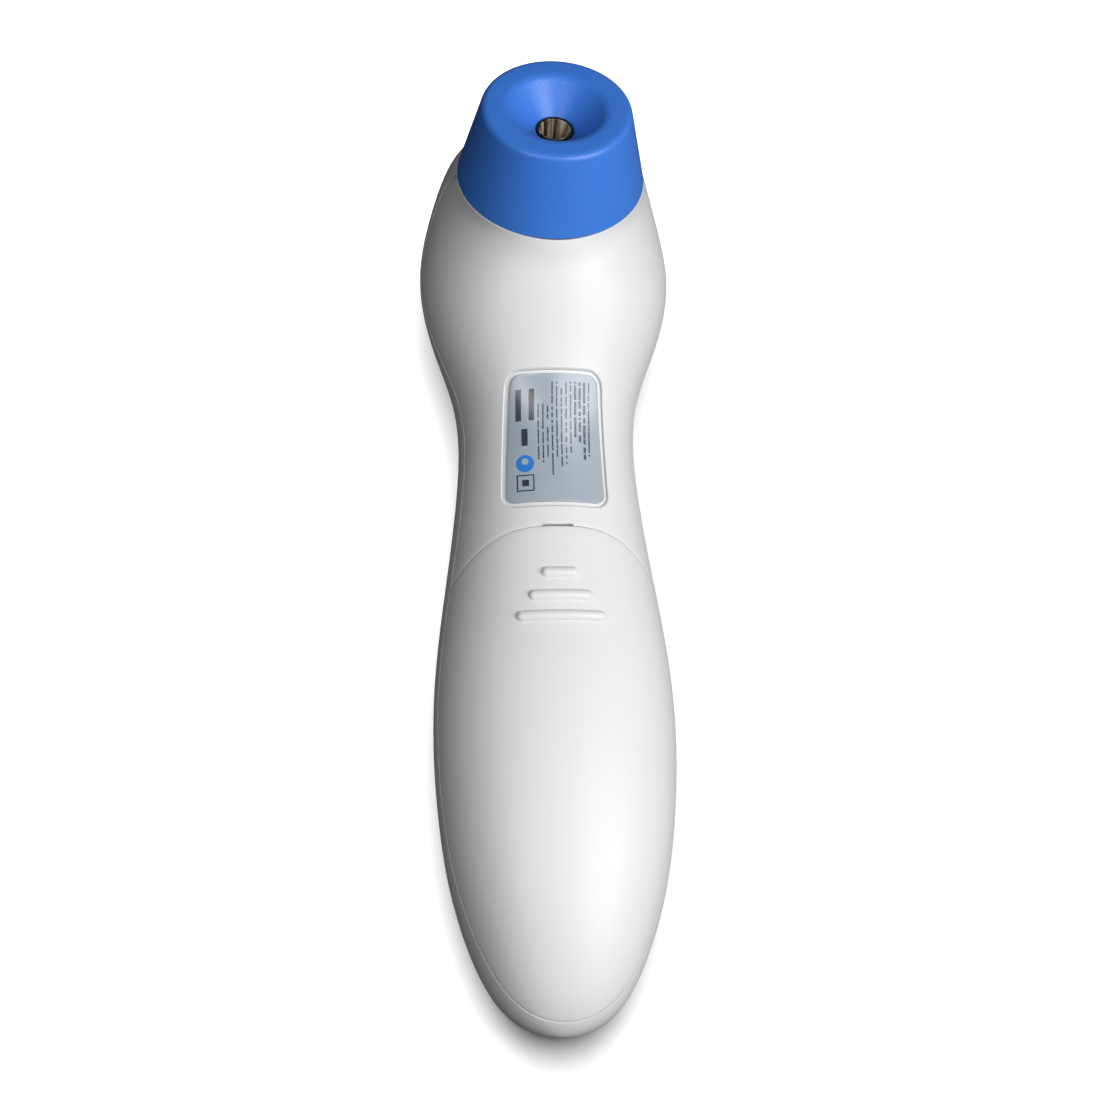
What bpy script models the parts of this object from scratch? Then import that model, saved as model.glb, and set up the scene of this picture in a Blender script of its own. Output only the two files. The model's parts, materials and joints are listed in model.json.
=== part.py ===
"""Handheld infrared forehead thermometer, lying on its display face.

+Z is the back of the case, +Y runs from the tail of the handle to the probe, and X is the width.
The origin is the middle of the footprint. Constants are lengths in metres, measured from the tail of
the handle along Y and from the table along Z, unless their names say otherwise.
"""

import math

import bmesh
import bpy
import numpy as np
from mathutils import Vector

MM = 0.001
GAP = 0.3 * MM
PARTING_GAP = 0.4 * MM

# Case
LENGTH = 156.6 * MM
WALL = 2.0 * MM
PARTING_Z = 15.4 * MM
PROBE_TILT = math.radians(62.0)
PROBE_BASE_Y = 139.4 * MM
PROBE_BASE_Z = 30.2 * MM
PROBE_BASE_R = 15.4 * MM

# Back and front of each section as (y, z), half width, all in millimetres, then the share of the
# height at which the section is widest, and the roundness of its back and of its front.
SECTIONS = (
    ((2.0, 16.6), (1.7, 4.9), 7.4, 0.44, 2.1, 2.1),
    ((7.6, 21.2), (7.0, 0.8), 11.8, 0.44, 2.1, 2.3),
    ((15.5, 24.8), (15.5, -0.8), 15.3, 0.43, 2.1, 2.5),
    ((25.5, 27.3), (25.5, -0.9), 18.0, 0.42, 2.15, 2.6),
    ((36.0, 28.7), (36.0, -0.9), 19.3, 0.42, 2.15, 2.6),
    ((47.0, 29.0), (47.0, -0.9), 19.9, 0.42, 2.15, 2.6),
    ((58.0, 28.4), (58.0, -0.9), 19.5, 0.42, 2.15, 2.6),
    ((69.0, 27.1), (69.0, -0.9), 18.1, 0.42, 2.15, 2.6),
    ((80.0, 25.8), (80.0, -0.9), 16.3, 0.43, 2.1, 2.6),
    ((90.0, 25.2), (90.5, -0.9), 14.9, 0.44, 2.1, 2.6),
    ((98.0, 25.6), (99.5, -0.9), 14.2, 0.45, 2.1, 2.6),
    ((104.5, 27.3), (108.0, -0.9), 14.9, 0.45, 2.1, 2.6),
    ((110.2, 29.6), (117.0, -0.9), 18.1, 0.45, 2.1, 2.6),
    ((115.2, 32.0), (127.0, -0.9), 20.4, 0.45, 2.1, 2.6),
    ((119.4, 33.9), (137.0, -0.6), 20.7, 0.46, 2.1, 2.5),
    ((122.8, 35.2), (147.5, 2.2), 18.9, 0.47, 2.05, 2.3),
)
HEAD_T = 14.0  # section parameter from which the parting line leaves its plane for the probe
PROBE_T = 16.0  # and the one from which it follows the widest line
TAIL_STEPS = (0.3, 0.65, 1.3, 1.7, 2.2, 2.8, 3.6, 4.6, 5.6, 6.6, 7.6)
HEAD_STEPS = (8.6, 9.6, 10.5, 11.3, 12, 12.7, 13.4, 14, 14.5, 15, 15.5, 16, 16.5, 17, 17.5, 18)

# Battery door
DOOR_TOP_Y = 81.0 * MM
DOOR_TOP_DROP = 6.9 * MM
DOOR_TOP_HALF = 16.4 * MM
RIB_ROWS = ((73.0 * MM, 6.1 * MM), (69.1 * MM, 10.3 * MM), (65.6 * MM, 14.4 * MM))
RIB_R = 0.95 * MM
RIB_HEIGHT = 0.7 * MM
HOOK_ROWS = (30.0 * MM, 60.0 * MM)
TONGUE_HALF = 2.6 * MM
TONGUE_Z = (21.6 * MM, 23.1 * MM)
TONGUE_Y = (75.0 * MM, 85.4 * MM)
SLOT_HALF = 2.9 * MM
SLOT_WIDTH = 0.9 * MM

# Rating label and its recess, as (y, half width) of their lower and upper edges
LABEL_EDGES = ((85.3 * MM, 8.1 * MM), (106.3 * MM, 7.1 * MM))
RECESS_EDGES = ((84.6 * MM, 8.7 * MM), (106.9 * MM, 7.8 * MM))
LABEL_CORNER = 1.5 * MM
LABEL_T = 0.3 * MM
LABEL_SUNK = 0.2 * MM

# Probe cap, along its own axis from the rim of the case
CAP_SIDE_R = 11.85 * MM
CAP_TOP = 15.2 * MM
DISH_R = 8.5 * MM
DISH_FLOOR = 10.2 * MM
BORE_R = 3.1 * MM
COLLAR_R = 13.0 * MM
COLLAR_DEPTH = 3.0 * MM
CAP_WALL = 1.6 * MM

# Electronics
BOARD_Z = (8.0 * MM, 9.2 * MM)
BOARD_TOP = BOARD_Z[1] + GAP
DISPLAY_Y = 123.5 * MM
WINDOW_HALF = (8.8 * MM, 11.0 * MM)
WINDOW_Z = (0.45 * MM, 1.7 * MM)
BUTTON_FACE_Z = 0.35 * MM
BUTTONS = {"measure": (98.0 * MM, 6.5 * MM), "mode": (85.0 * MM, 3.5 * MM)}
BOARD_SCREWS = (8.2 * MM, 107.5 * MM)

# Batteries
CELL_R = 5.25 * MM
CELL_LENGTH = 44.5 * MM
CELL_NUB = 0.8 * MM
CELL_X = 5.6 * MM
CELL_Z = 16.8 * MM
TUB_HALF = 12.2 * MM
TUB_Y = (15.8 * MM, 69.8 * MM)
TUB_FLOOR = (9.9 * MM, 11.2 * MM)
TUB_WALL = 1.1 * MM
TUB_TOP = 18.2 * MM
TUB_TAIL = (9.8 * MM, 24.0 * MM)  # half width above the deck at the tail, and where the tub widens
RAIL_Y = (26.0 * MM, 66.0 * MM)
DECK_Z = (13.8 * MM, 15.2 * MM)
FLANGE_Z = (15.7 * MM, 17.3 * MM)
FLANGE_Y = (73.0 * MM, 84.0 * MM)
CASE_SCREWS = (8.0 * MM, 77.5 * MM)
TRAY_SCREWS = (5.0 * MM, 13.0 * MM)
SCREW_R = 1.1 * MM
SCREW_HOLE_R = 1.4 * MM
BOSS_BASE_Z = 1.6 * MM


# ---------------------------------------------------------------- scene, materials, small builders


def clear_scene():
    for obj in list(bpy.data.objects):
        bpy.data.objects.remove(obj, do_unlink=True)


def new_collection(name):
    collection = bpy.data.collections.new(name)
    bpy.context.scene.collection.children.link(collection)
    return collection


clear_scene()
PARTS = new_collection("forehead_thermometer")
CUTTERS = new_collection("cutters")
CUTTERS.hide_render = True


def new_empty(name, location, parent=None, rotation=(0.0, 0.0, 0.0)):
    empty = bpy.data.objects.new(name, None)
    empty.location = location
    empty.rotation_euler = rotation
    empty.parent = parent
    PARTS.objects.link(empty)
    return empty


CASE = new_empty("case_frame", (0.0, -LENGTH / 2, 0.0))
PROBE = new_empty(
    "probe_axis",
    (0.0, PROBE_BASE_Y, PROBE_BASE_Z),
    CASE,
    (PROBE_TILT - math.pi / 2, 0.0, 0.0),
)


def material(name, colour, roughness, metallic=0.0):
    made = bpy.data.materials.new(name)
    made.use_nodes = True
    shader = made.node_tree.nodes["Principled BSDF"]
    shader.inputs["Base Color"].default_value = (*colour, 1.0)
    shader.inputs["Roughness"].default_value = roughness
    shader.inputs["Metallic"].default_value = metallic
    made.diffuse_color = (*colour, 1.0)
    return made


FINISHES = {
    "white_case": ((0.82, 0.83, 0.85), 0.35, 0.0),
    "blue_cap": ((0.03, 0.19, 0.72), 0.45, 0.0),
    "black_plastic": ((0.02, 0.02, 0.022), 0.4, 0.0),
    "nickel": ((0.62, 0.56, 0.46), 0.2, 1.0),
    "steel": ((0.6, 0.6, 0.6), 0.3, 1.0),
    "silicon": ((0.12, 0.13, 0.16), 0.15, 0.3),
    "board_green": ((0.03, 0.25, 0.10), 0.45, 0.0),
    "grey_plastic": ((0.35, 0.36, 0.38), 0.5, 0.0),
    "button_grey": ((0.45, 0.5, 0.56), 0.4, 0.0),
    "lcd": ((0.45, 0.5, 0.42), 0.15, 0.0),
    "light_guide": ((0.85, 0.88, 0.9), 0.3, 0.0),
    "smoked_window": ((0.05, 0.06, 0.07), 0.08, 0.0),
    "cell_jacket": ((0.16, 0.17, 0.19), 0.35, 0.4),
    "lead_red": ((0.6, 0.03, 0.03), 0.5, 0.0),
    "lead_black": ((0.02, 0.02, 0.02), 0.5, 0.0),
    "label_film": ((0.50, 0.57, 0.63), 0.3, 0.0),
}
MATERIALS = {name: material(name, *values) for name, values in FINISHES.items()}


def place(obj, finish, parent=CASE, location=(0.0, 0.0, 0.0)):
    """Put an object in the part's collection with its finish, under its parent."""
    obj.data.materials.clear()
    own = MATERIALS[finish].copy()
    own.name = obj.name + "_finish"
    obj.data.materials.append(own)
    obj.location = location
    obj.parent = parent
    PARTS.objects.link(obj)
    return obj


def mesh_object(name, bm):
    bmesh.ops.recalc_face_normals(bm, faces=bm.faces)
    mesh = bpy.data.meshes.new(name)
    bm.to_mesh(mesh)
    bm.free()
    return bpy.data.objects.new(name, mesh)


def box_mesh(bm, low, high):
    """A box between two corners, added to bm."""
    made = bmesh.ops.create_cube(bm, size=1.0)["verts"]
    middle = [(a + b) / 2 for a, b in zip(low, high)]
    size = [b - a for a, b in zip(low, high)]
    for vert in made:
        vert.co = Vector(m + c * s for m, c, s in zip(middle, vert.co, size))


def box(name, low, high, bevel=0.0):
    bm = bmesh.new()
    box_mesh(bm, low, high)
    obj = mesh_object(name, bm)
    if bevel:
        rounding = obj.modifiers.new("edges", "BEVEL")
        rounding.width = bevel
        rounding.segments = 2
    return obj


def cylinder(name, radius, low_z, high_z, centre=(0.0, 0.0), sides=24):
    """An upright cylinder between two heights."""
    bm = bmesh.new()
    made = bmesh.ops.create_cone(
        bm,
        cap_ends=True,
        segments=sides,
        radius1=radius,
        radius2=radius,
        depth=high_z - low_z,
    )["verts"]
    bmesh.ops.translate(bm, verts=made, vec=(*centre, (low_z + high_z) / 2))
    return mesh_object(name, bm)


def turned(name, profile, steps=24, closed=False):
    """A profile of (radius, height) turned about Z. It runs down the outer side."""
    count = len(profile)
    edges = [(i, i + 1) for i in range(count - 1)]
    if closed:
        edges.append((count - 1, 0))
    mesh = bpy.data.meshes.new(name)
    mesh.from_pydata([(r, 0.0, h) for r, h in profile], edges, [])
    obj = bpy.data.objects.new(name, mesh)
    screw = obj.modifiers.new("turn", "SCREW")
    screw.steps = steps
    screw.render_steps = steps
    screw.use_merge_vertices = True
    screw.merge_threshold = 1e-6
    screw.use_smooth_shade = True
    return obj


def wire(name, points, radius):
    """A round wire through points, smoothed and with filled ends."""
    path = smooth_path(points)
    curve = bpy.data.curves.new(name, "CURVE")
    curve.dimensions = "3D"
    curve.bevel_depth = radius
    curve.bevel_resolution = 1
    curve.use_fill_caps = True
    spline = curve.splines.new("POLY")
    spline.points.add(len(path) - 1)
    for point, co in zip(spline.points, path):
        point.co = (*co, 1.0)
    return bpy.data.objects.new(name, curve)


def smooth_path(points, steps=3):
    """Catmull-Rom points through a short list of points."""
    ends = [2 * Vector(points[0]) - Vector(points[1]), 2 * Vector(points[-1]) - Vector(points[-2])]
    knots = [ends[0], *map(Vector, points), ends[1]]
    path = []
    for a, b, c, d in zip(knots, knots[1:], knots[2:], knots[3:]):
        for i in range(steps):
            u = i / steps
            bend = 2 * a - 5 * b + 4 * c - d
            twist = 3 * b - a - 3 * c + d
            path.append(0.5 * (2 * b + (c - a) * u + bend * u**2 + twist * u**3))
    return [*path, Vector(points[-1])]


def plate(name, outlines, low_z, high_z):
    """A flat plate between two heights, from an outline and its holes."""
    curve = bpy.data.curves.new(name, "CURVE")
    curve.dimensions = "2D"
    curve.fill_mode = "BOTH"
    curve.extrude = (high_z - low_z) / 2
    for outline in outlines:
        spline = curve.splines.new("POLY")
        spline.points.add(len(outline) - 1)
        spline.use_cyclic_u = True
        for point, (x, y) in zip(spline.points, outline):
            point.co = (x, y, 0.0, 1.0)
    obj = bpy.data.objects.new(name, curve)
    obj.location.z = (low_z + high_z) / 2
    return meshed(obj)


def meshed(obj):
    """A curve object as a mesh object, with its caps welded and its height in its mesh."""
    bpy.context.scene.collection.objects.link(obj)
    graph = bpy.context.evaluated_depsgraph_get()
    mesh = bpy.data.meshes.new_from_object(obj.evaluated_get(graph))
    mesh.transform(obj.matrix_world)
    name = obj.name
    curve = obj.data
    bpy.data.objects.remove(obj)
    bpy.data.curves.remove(curve)
    bm = bmesh.new()
    bm.from_mesh(mesh)
    bmesh.ops.remove_doubles(bm, verts=bm.verts, dist=1e-6)
    bpy.data.meshes.remove(mesh)
    return mesh_object(name, bm)


def circle(radius, centre=(0.0, 0.0), sides=20):
    return [
        (centre[0] + radius * math.cos(a), centre[1] + radius * math.sin(a))
        for a in np.linspace(0, 2 * math.pi, sides, endpoint=False)
    ]


def rounded(corners, radius, steps=3):
    """A closed outline with each corner rounded by a quadratic curve."""
    outline = []
    for before, corner, after in zip(corners[-1:] + corners[:-1], corners, corners[1:] + corners[:1]):
        here = Vector(corner)
        start = here + (Vector(before) - here).normalized() * radius
        end = here + (Vector(after) - here).normalized() * radius
        for u in np.linspace(0, 1, steps + 1):
            outline.append(tuple((1 - u) ** 2 * start + 2 * u * (1 - u) * here + u * u * end))
    return outline


def rectangle(half_x, half_y, centre_y, radius):
    low, high = centre_y - half_y, centre_y + half_y
    return rounded([(-half_x, low), (half_x, low), (half_x, high), (-half_x, high)], radius)


def combine(obj, other, operation):
    """Join, cut or keep with a Boolean. The other object becomes a hidden cutter."""
    CUTTERS.objects.link(other)
    other.parent = obj.parent or CASE
    other.hide_render = True
    other.display_type = "WIRE"
    boolean = obj.modifiers.new(other.name, "BOOLEAN")
    boolean.operation = operation
    boolean.solver = "EXACT"
    boolean.object = other


# ---------------------------------------------------------------- surface of the case

PROBE_AXIS = Vector((0.0, math.cos(PROBE_TILT), math.sin(PROBE_TILT)))
PROBE_ACROSS = Vector((0.0, math.sin(PROBE_TILT), -math.cos(PROBE_TILT)))


def control_rows():
    """Control rows of the spline: back y, z, front y, z, half width, share, two exponents."""
    base = np.array((PROBE_BASE_Y, PROBE_BASE_Z))
    across = np.array(PROBE_ACROSS[1:])
    near = base - PROBE_BASE_R * across
    far = base + PROBE_BASE_R * across
    rows = [[*np.array(back) * MM, *np.array(front) * MM, half * MM, *form]
            for back, front, half, *form in SECTIONS]
    rows.append([near[0] - 1.0 * MM, near[1] - 0.6 * MM, 155.8 * MM, 10.5 * MM, 16.7 * MM, 0.485, 2.0, 2.1])
    rows.append([*near, *far, PROBE_BASE_R, 0.5, 2.0, 2.0])
    first = rows[0]
    middle_z = (first[1] + first[3]) / 2
    pole = [-first[0] / 2, middle_z, -first[2] / 2, middle_z, 0.0, *first[5:]]
    mirrored = [first[2], first[3], first[0], first[1], -first[4], *first[5:]]
    after = [2 * a - b for a, b in zip(rows[-1], rows[-2])]
    return np.array([mirrored, pole, *rows, after])


CONTROLS = control_rows()
END_T = len(CONTROLS) - 3.0


def section(t):
    """The case's section at parameter t, on a uniform cubic B-spline."""
    start = int(min(max(math.floor(t), 0), len(CONTROLS) - 4))
    u = t - start
    weights = ((1 - u) ** 3, 3 * u**3 - 6 * u**2 + 4, -3 * u**3 + 3 * u**2 + 3 * u + 1, u**3)
    return sum(w / 6 * CONTROLS[start + i] for i, w in enumerate(weights))


def surface_point(t, angle):
    """A point of the case's outside. Angle 0 is the widest point at +X, and a quarter turn the back."""
    back_y, back_z, front_y, front_z, half, widest, n_back, n_front = section(t)
    sine, cosine = math.sin(angle), math.cos(angle)
    power = 2 / (n_back if sine >= 0 else n_front)
    rise = abs(sine) ** power
    share = widest + (1 - widest) * rise if sine >= 0 else widest * (1 - rise)
    x = half * math.copysign(abs(cosine) ** power, cosine)
    y = front_y + share * (back_y - front_y)
    z = max(front_z + share * (back_z - front_z), 0.0)
    return Vector((x, y, z))


def parting_angle(t, offset):
    """The angle of the parting line: on its plane along the handle, on the widest line at the probe."""
    back_z, front_z, widest, n_back, n_front = section(t)[[1, 3, 5, 6, 7]]
    height = back_z - front_z
    u = min(max((t - HEAD_T) / (PROBE_T - HEAD_T), 0.0), 1.0)
    blend = u * u * (3 - 2 * u)
    on_plane = (PARTING_Z - front_z) / height
    share = on_plane + (widest - on_plane) * blend + offset / height
    if share >= widest:
        rise = min((share - widest) / (1 - widest), 1.0)
        return math.asin(rise ** (n_back / 2))
    rise = min(1 - share / widest, 1.0)
    return -math.asin(rise ** (n_front / 2))


def bisect(test, low, high):
    """The value between low and high where test turns from false to true."""
    for _ in range(40):
        middle = (low + high) / 2
        if test(middle):
            high = middle
        else:
            low = middle
    return high


def back_height(x, y):
    """Height of the case's back over a point of the plan."""

    def share_and_y(t):
        back_y, _, front_y, _, half, widest, n_back, _ = section(t)
        rise = max(1 - (abs(x) / half) ** n_back, 0.0) ** (1 / n_back)
        share = widest + (1 - widest) * rise
        return share, front_y + share * (back_y - front_y)

    t = bisect(lambda value: share_and_y(value)[1] > y, 1.0, END_T)
    row = section(t)
    return row[3] + share_and_y(t)[0] * (row[1] - row[3])


def door_top(x):
    """Y of the door's arched top edge."""
    return DOOR_TOP_Y - DOOR_TOP_DROP * (abs(x) / DOOR_TOP_HALF) ** 3


def grid_object(name, rows, thickness):
    """A wall from rows of points on its outside, thickened inwards."""
    bm = bmesh.new()
    verts = [[bm.verts.new(point) for point in row] for row in rows]
    for row, following in zip(verts, verts[1:]):
        for a, b, c, d in zip(row, row[1:], following[1:], following):
            bm.faces.new((a, b, c, d))
    bmesh.ops.remove_doubles(bm, verts=bm.verts, dist=2e-5)
    obj = mesh_object(name, bm)
    if outward_share(obj.data) < 0:
        obj.data.flip_normals()
    wall = obj.modifiers.new("wall", "SOLIDIFY")
    wall.thickness = thickness
    wall.offset = -1.0
    wall.use_even_offset = True
    wall.thickness_clamp = 1.0
    return obj


def outward_share(mesh):
    """Positive where most faces point away from the middle of the case."""
    middle = Vector((0.0, LENGTH / 2, PARTING_Z))
    return sum((face.center - middle).dot(face.normal) * face.area for face in mesh.polygons)


def back_wall_rows(edge_offset, lower_t, upper_t, row_shares, columns=14):
    """Rows over the back between two section parameters, which may differ from column to column."""
    columns_t = []
    for share in np.linspace(0, 1, columns + 1):

        def angle(t, share=share):
            edge = parting_angle(t, edge_offset)
            return edge + share * (math.pi - 2 * edge)

        columns_t.append((angle, lower_t(angle), upper_t(angle)))
    rows = []
    for v in row_shares:
        levels = [(angle, low + v * (high - low)) for angle, low, high in columns_t]
        rows.append([surface_point(t, angle(t)) for angle, t in levels])
    return rows


def arch_t(angle, shift):
    """Where a column of the back wall crosses the door's top edge, moved by shift along Y."""

    def beyond(t):
        point = surface_point(t, angle(t))
        return point.y > door_top(point.x) + shift

    return bisect(beyond, 6.0, 11.0)


# ---------------------------------------------------------------- case pieces


def front_shell():
    """The half of the case that carries the display and the buttons."""
    close_t = bisect(lambda t: section(t)[1] > PARTING_Z - PARTING_GAP / 2, 0.0, 3.0)
    rows = []
    columns = 22
    for t in sorted((*TAIL_STEPS, close_t, *HEAD_STEPS)):
        edge = parting_angle(t, -PARTING_GAP / 2) if t > close_t + 1e-6 else math.pi / 2
        angles = np.linspace(-math.pi - edge, edge, columns + 1)
        rows.append([surface_point(t, angle) for angle in angles])
    tip = (surface_point(0, 0) + surface_point(0, math.pi)) / 2
    rows.insert(0, [tip] * (columns + 1))
    obj = place(grid_object("front_shell", rows, WALL), "white_case")
    bosses = [
        (side * x, y, radius, top)
        for (x, y), radius, top in (
            (CASE_SCREWS, 2.8 * MM, FLANGE_Z[0] - GAP),
            (TRAY_SCREWS, 2.8 * MM, DECK_Z[0] - GAP),
            (BOARD_SCREWS, 2.2 * MM, BOARD_Z[0] - GAP),
        )
        for side in (-1, 1)
    ]
    for x, y, radius, top in bosses:
        name = f"boss_{x / MM:.0f}_{y / MM:.0f}"
        combine(obj, cylinder(name, radius, BOSS_BASE_Z, top, (x, y), 16), "UNION")
    for x, y, _, top in bosses:
        name = f"boss_hole_{x / MM:.0f}_{y / MM:.0f}"
        combine(obj, cylinder(name, SCREW_HOLE_R, 3.6 * MM, top + 1 * MM, (x, y), 12), "DIFFERENCE")
    outlines = [rectangle(WINDOW_HALF[0] + GAP, WINDOW_HALF[1] + GAP, DISPLAY_Y, 2.0 * MM)]
    outlines += [circle(radius + GAP, (0.0, y), 24) for y, radius in BUTTONS.values()]
    combine(obj, plate("front_openings", outlines, -2 * MM, 6 * MM), "DIFFERENCE")


def back_cover():
    """The head and neck of the back, with the label's recess and the flange under the door."""
    side_t = arch_t(lambda t: parting_angle(t, PARTING_GAP / 2), GAP / 2)
    shares = [0.0, *((t - side_t) / (END_T - side_t) for t in HEAD_STEPS if t > side_t)]
    start, end = lambda angle: arch_t(angle, GAP / 2), lambda angle: END_T
    rows = back_wall_rows(PARTING_GAP / 2, start, end, shares)
    obj = place(grid_object("back_cover", rows, WALL), "white_case")
    combine(obj, bulkhead(), "UNION")
    half = TUB_HALF
    flange = box("flange", (-half, FLANGE_Y[0], FLANGE_Z[0]), (half, FLANGE_Y[1] - 0.4 * MM, FLANGE_Z[1]))
    combine(obj, flange, "UNION")
    for side in (-1, 1):
        name = f"flange_hole_{side + 1}"
        centre = (side * CASE_SCREWS[0], CASE_SCREWS[1])
        hole = cylinder(name, SCREW_HOLE_R, FLANGE_Z[0] - 1 * MM, FLANGE_Z[1] + 1 * MM, centre, 12)
        combine(obj, hole, "DIFFERENCE")
    slot = box(
        "latch_slot",
        (-SLOT_HALF - GAP, DOOR_TOP_Y - 2 * MM, TONGUE_Z[0] - GAP),
        (SLOT_HALF + GAP, FLANGE_Y[1] + 2 * MM, TONGUE_Z[1] + GAP),
    )
    combine(obj, slot, "DIFFERENCE")
    notch = box(
        "latch_notch",
        (-SLOT_HALF, DOOR_TOP_Y - 2 * MM, TONGUE_Z[1] - 1 * MM),
        (SLOT_HALF, DOOR_TOP_Y + SLOT_WIDTH, TONGUE_Z[1] + 6 * MM),
    )
    combine(obj, notch, "DIFFERENCE")
    combine(obj, plan_patch("label_recess", RECESS_EDGES, LABEL_CORNER, 0.8 * MM, -2 * MM), "DIFFERENCE")


def bulkhead():
    """The wall that closes the battery bay, shaped to sit in the back cover's wall."""
    inset = WALL / 2
    y = FLANGE_Y[1]
    low = FLANGE_Z[0]
    half = bisect(lambda x: back_height(x, y) - inset < low + 2 * MM, 8 * MM, 15.5 * MM) - inset
    xs = np.linspace(half, -half, 15)
    outline = [(-half, low), (half, low)] + [(x, back_height(x, y) - inset * 1.1) for x in xs]
    bm = bmesh.new()
    ends = [
        [bm.verts.new((x, level, z)) for x, z in outline]
        for level in (y - 1.6 * MM, y)
    ]
    bm.faces.new(ends[0])
    bm.faces.new(ends[1])
    count = len(outline)
    for i in range(count):
        j = (i + 1) % count
        bm.faces.new((ends[0][i], ends[0][j], ends[1][j], ends[1][i]))
    return mesh_object("bulkhead", bm)


def plan_patch(name, edges, corner, low_depth, high_depth, columns=6, rows=7):
    """A patch over the back between two depths below its surface, with a rounded outline in plan."""
    (low_y, low_half), (high_y, high_half) = edges
    bm = bmesh.new()
    layers = []
    for depth in (low_depth, high_depth):
        layer = []
        for y in rounded_rows(low_y, high_y, corner, rows):
            half = low_half + (high_half - low_half) * (y - low_y) / (high_y - low_y)
            inset = max(corner - min(y - low_y, high_y - y), 0.0)
            half -= corner - math.sqrt(max(corner**2 - inset**2, 0.0))
            xs = np.linspace(-half, half, columns + 1)
            layer.append([bm.verts.new((x, y, back_height(x, y) - depth)) for x in xs])
        layers.append(layer)
    for layer in layers:
        for row, following in zip(layer, layer[1:]):
            for a, b, c, d in zip(row, row[1:], following[1:], following):
                bm.faces.new((a, b, c, d))
    low, high = layers
    rim = [layer_rim(layer) for layer in (low, high)]
    count = len(rim[0])
    for i in range(count):
        j = (i + 1) % count
        bm.faces.new((rim[0][i], rim[0][j], rim[1][j], rim[1][i]))
    return mesh_object(name, bm)


def rounded_rows(low, high, corner, rows):
    """Positions of rows that crowd in the rounded corners."""
    ends = [corner * (1 - math.cos(a)) for a in np.linspace(0, math.pi / 2, 3)]
    middle = np.linspace(low + corner, high - corner, rows - 1)[1:-1]
    return [*(low + e for e in ends), *middle, *(high - e for e in reversed(ends))]


def layer_rim(layer):
    left = [row[0] for row in layer]
    right = [row[-1] for row in layer]
    return [*layer[0], *right[1:], *layer[-1][-2::-1], *left[-2:0:-1]]


def battery_door(slide):
    """The cover over the whole back of the handle, with its grip ribs, hooks and latch tongue."""
    below = 0.8 * MM
    start_t = bisect(lambda t: section(t)[1] > PARTING_Z - below + 0.05 * MM, 0.0, 3.0)
    rows = back_wall_rows(
        -below,
        lambda angle: start_t,
        lambda angle: arch_t(angle, -GAP / 2),
        [0, 0.01, 0.03, 0.06, 0.1, 0.15, 0.21, 0.28, 0.36, 0.45, 0.54, 0.63, 0.72, 0.8, 0.87, 0.94, 1],
    )
    obj = place(grid_object("battery_door", rows, WALL), "white_case", slide)
    for number, (y, length) in enumerate(RIB_ROWS, 1):
        combine(obj, grip_rib(f"rib_{number}", y, length), "UNION")
    for side in (-1, 1):
        for y in HOOK_ROWS:
            reach = bisect(lambda x: back_height(x, y) < 20 * MM, 10 * MM, 19 * MM) - 0.4 * MM
            xs = sorted((side * 12.5 * MM, side * reach))
            low, high = (xs[0], y, 15.9 * MM), (xs[1], y + 4 * MM, 16.9 * MM)
            combine(obj, box(f"hook_{side + 1}_{y / MM:.0f}", low, high), "UNION")
    root_z = back_height(0, TONGUE_Y[0]) - WALL / 2
    low, high = zip((-TONGUE_HALF, TONGUE_HALF), TONGUE_Y, TONGUE_Z)
    combine(obj, box("tongue", low, high), "UNION")
    web = box("tongue_web", (-TONGUE_HALF + 0.3 * MM, TONGUE_Y[0] + 0.6 * MM, TONGUE_Z[0] + 0.5 * MM),
              (TONGUE_HALF - 0.3 * MM, DOOR_TOP_Y - 1.4 * MM, root_z))
    combine(obj, web, "UNION")
    floor = PARTING_Z + PARTING_GAP / 2
    trim = box("door_trim", (-30 * MM, -10 * MM, floor - 20 * MM), (30 * MM, 90 * MM, floor))
    combine(obj, trim, "DIFFERENCE")


def grip_rib(name, y, length, sides=8):
    """A long pill that follows the door's surface across the handle."""
    reach = length / 2 - RIB_R
    ends = [reach + RIB_R * math.sin(a) for a in (0.55, 1.05, 1.4)]
    half = [*np.linspace(0, reach, 4)[1:], *ends]
    bm = bmesh.new()
    rings = []
    for x in [-h for h in reversed(half)] + [0.0] + half:
        shrink = math.sqrt(max(1 - (max(abs(x) - reach, 0.0) / RIB_R) ** 2, 0.0))
        centre = Vector((x, y, back_height(x, y) - RIB_R + RIB_HEIGHT))
        ring = []
        for angle in np.linspace(0, 2 * math.pi, sides, endpoint=False):
            across = Vector((0, math.cos(angle), math.sin(angle))) * RIB_R * shrink
            ring.append(bm.verts.new(centre + across))
        rings.append(ring)
    for ring, following in zip(rings, rings[1:]):
        for i in range(sides):
            j = (i + 1) % sides
            bm.faces.new((ring[i], ring[j], following[j], following[i]))
    bm.faces.new(rings[0])
    bm.faces.new(rings[-1])
    return mesh_object(name, bm)


def rating_label():
    low = LABEL_SUNK + LABEL_T
    place(plan_patch("rating_label", LABEL_EDGES, LABEL_CORNER * 0.6, low, LABEL_SUNK), "label_film")


# ---------------------------------------------------------------- probe


def fillet(before, corner, after, radius, steps=4):
    """Points of a rounded corner on a profile."""
    here = Vector(corner)
    start = here + (Vector(before) - here).normalized() * radius
    end = here + (Vector(after) - here).normalized() * radius
    shares = np.linspace(0, 1, steps + 1)
    return [tuple((1 - u) ** 2 * start + 2 * u * (1 - u) * here + u * u * end) for u in shares]


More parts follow.
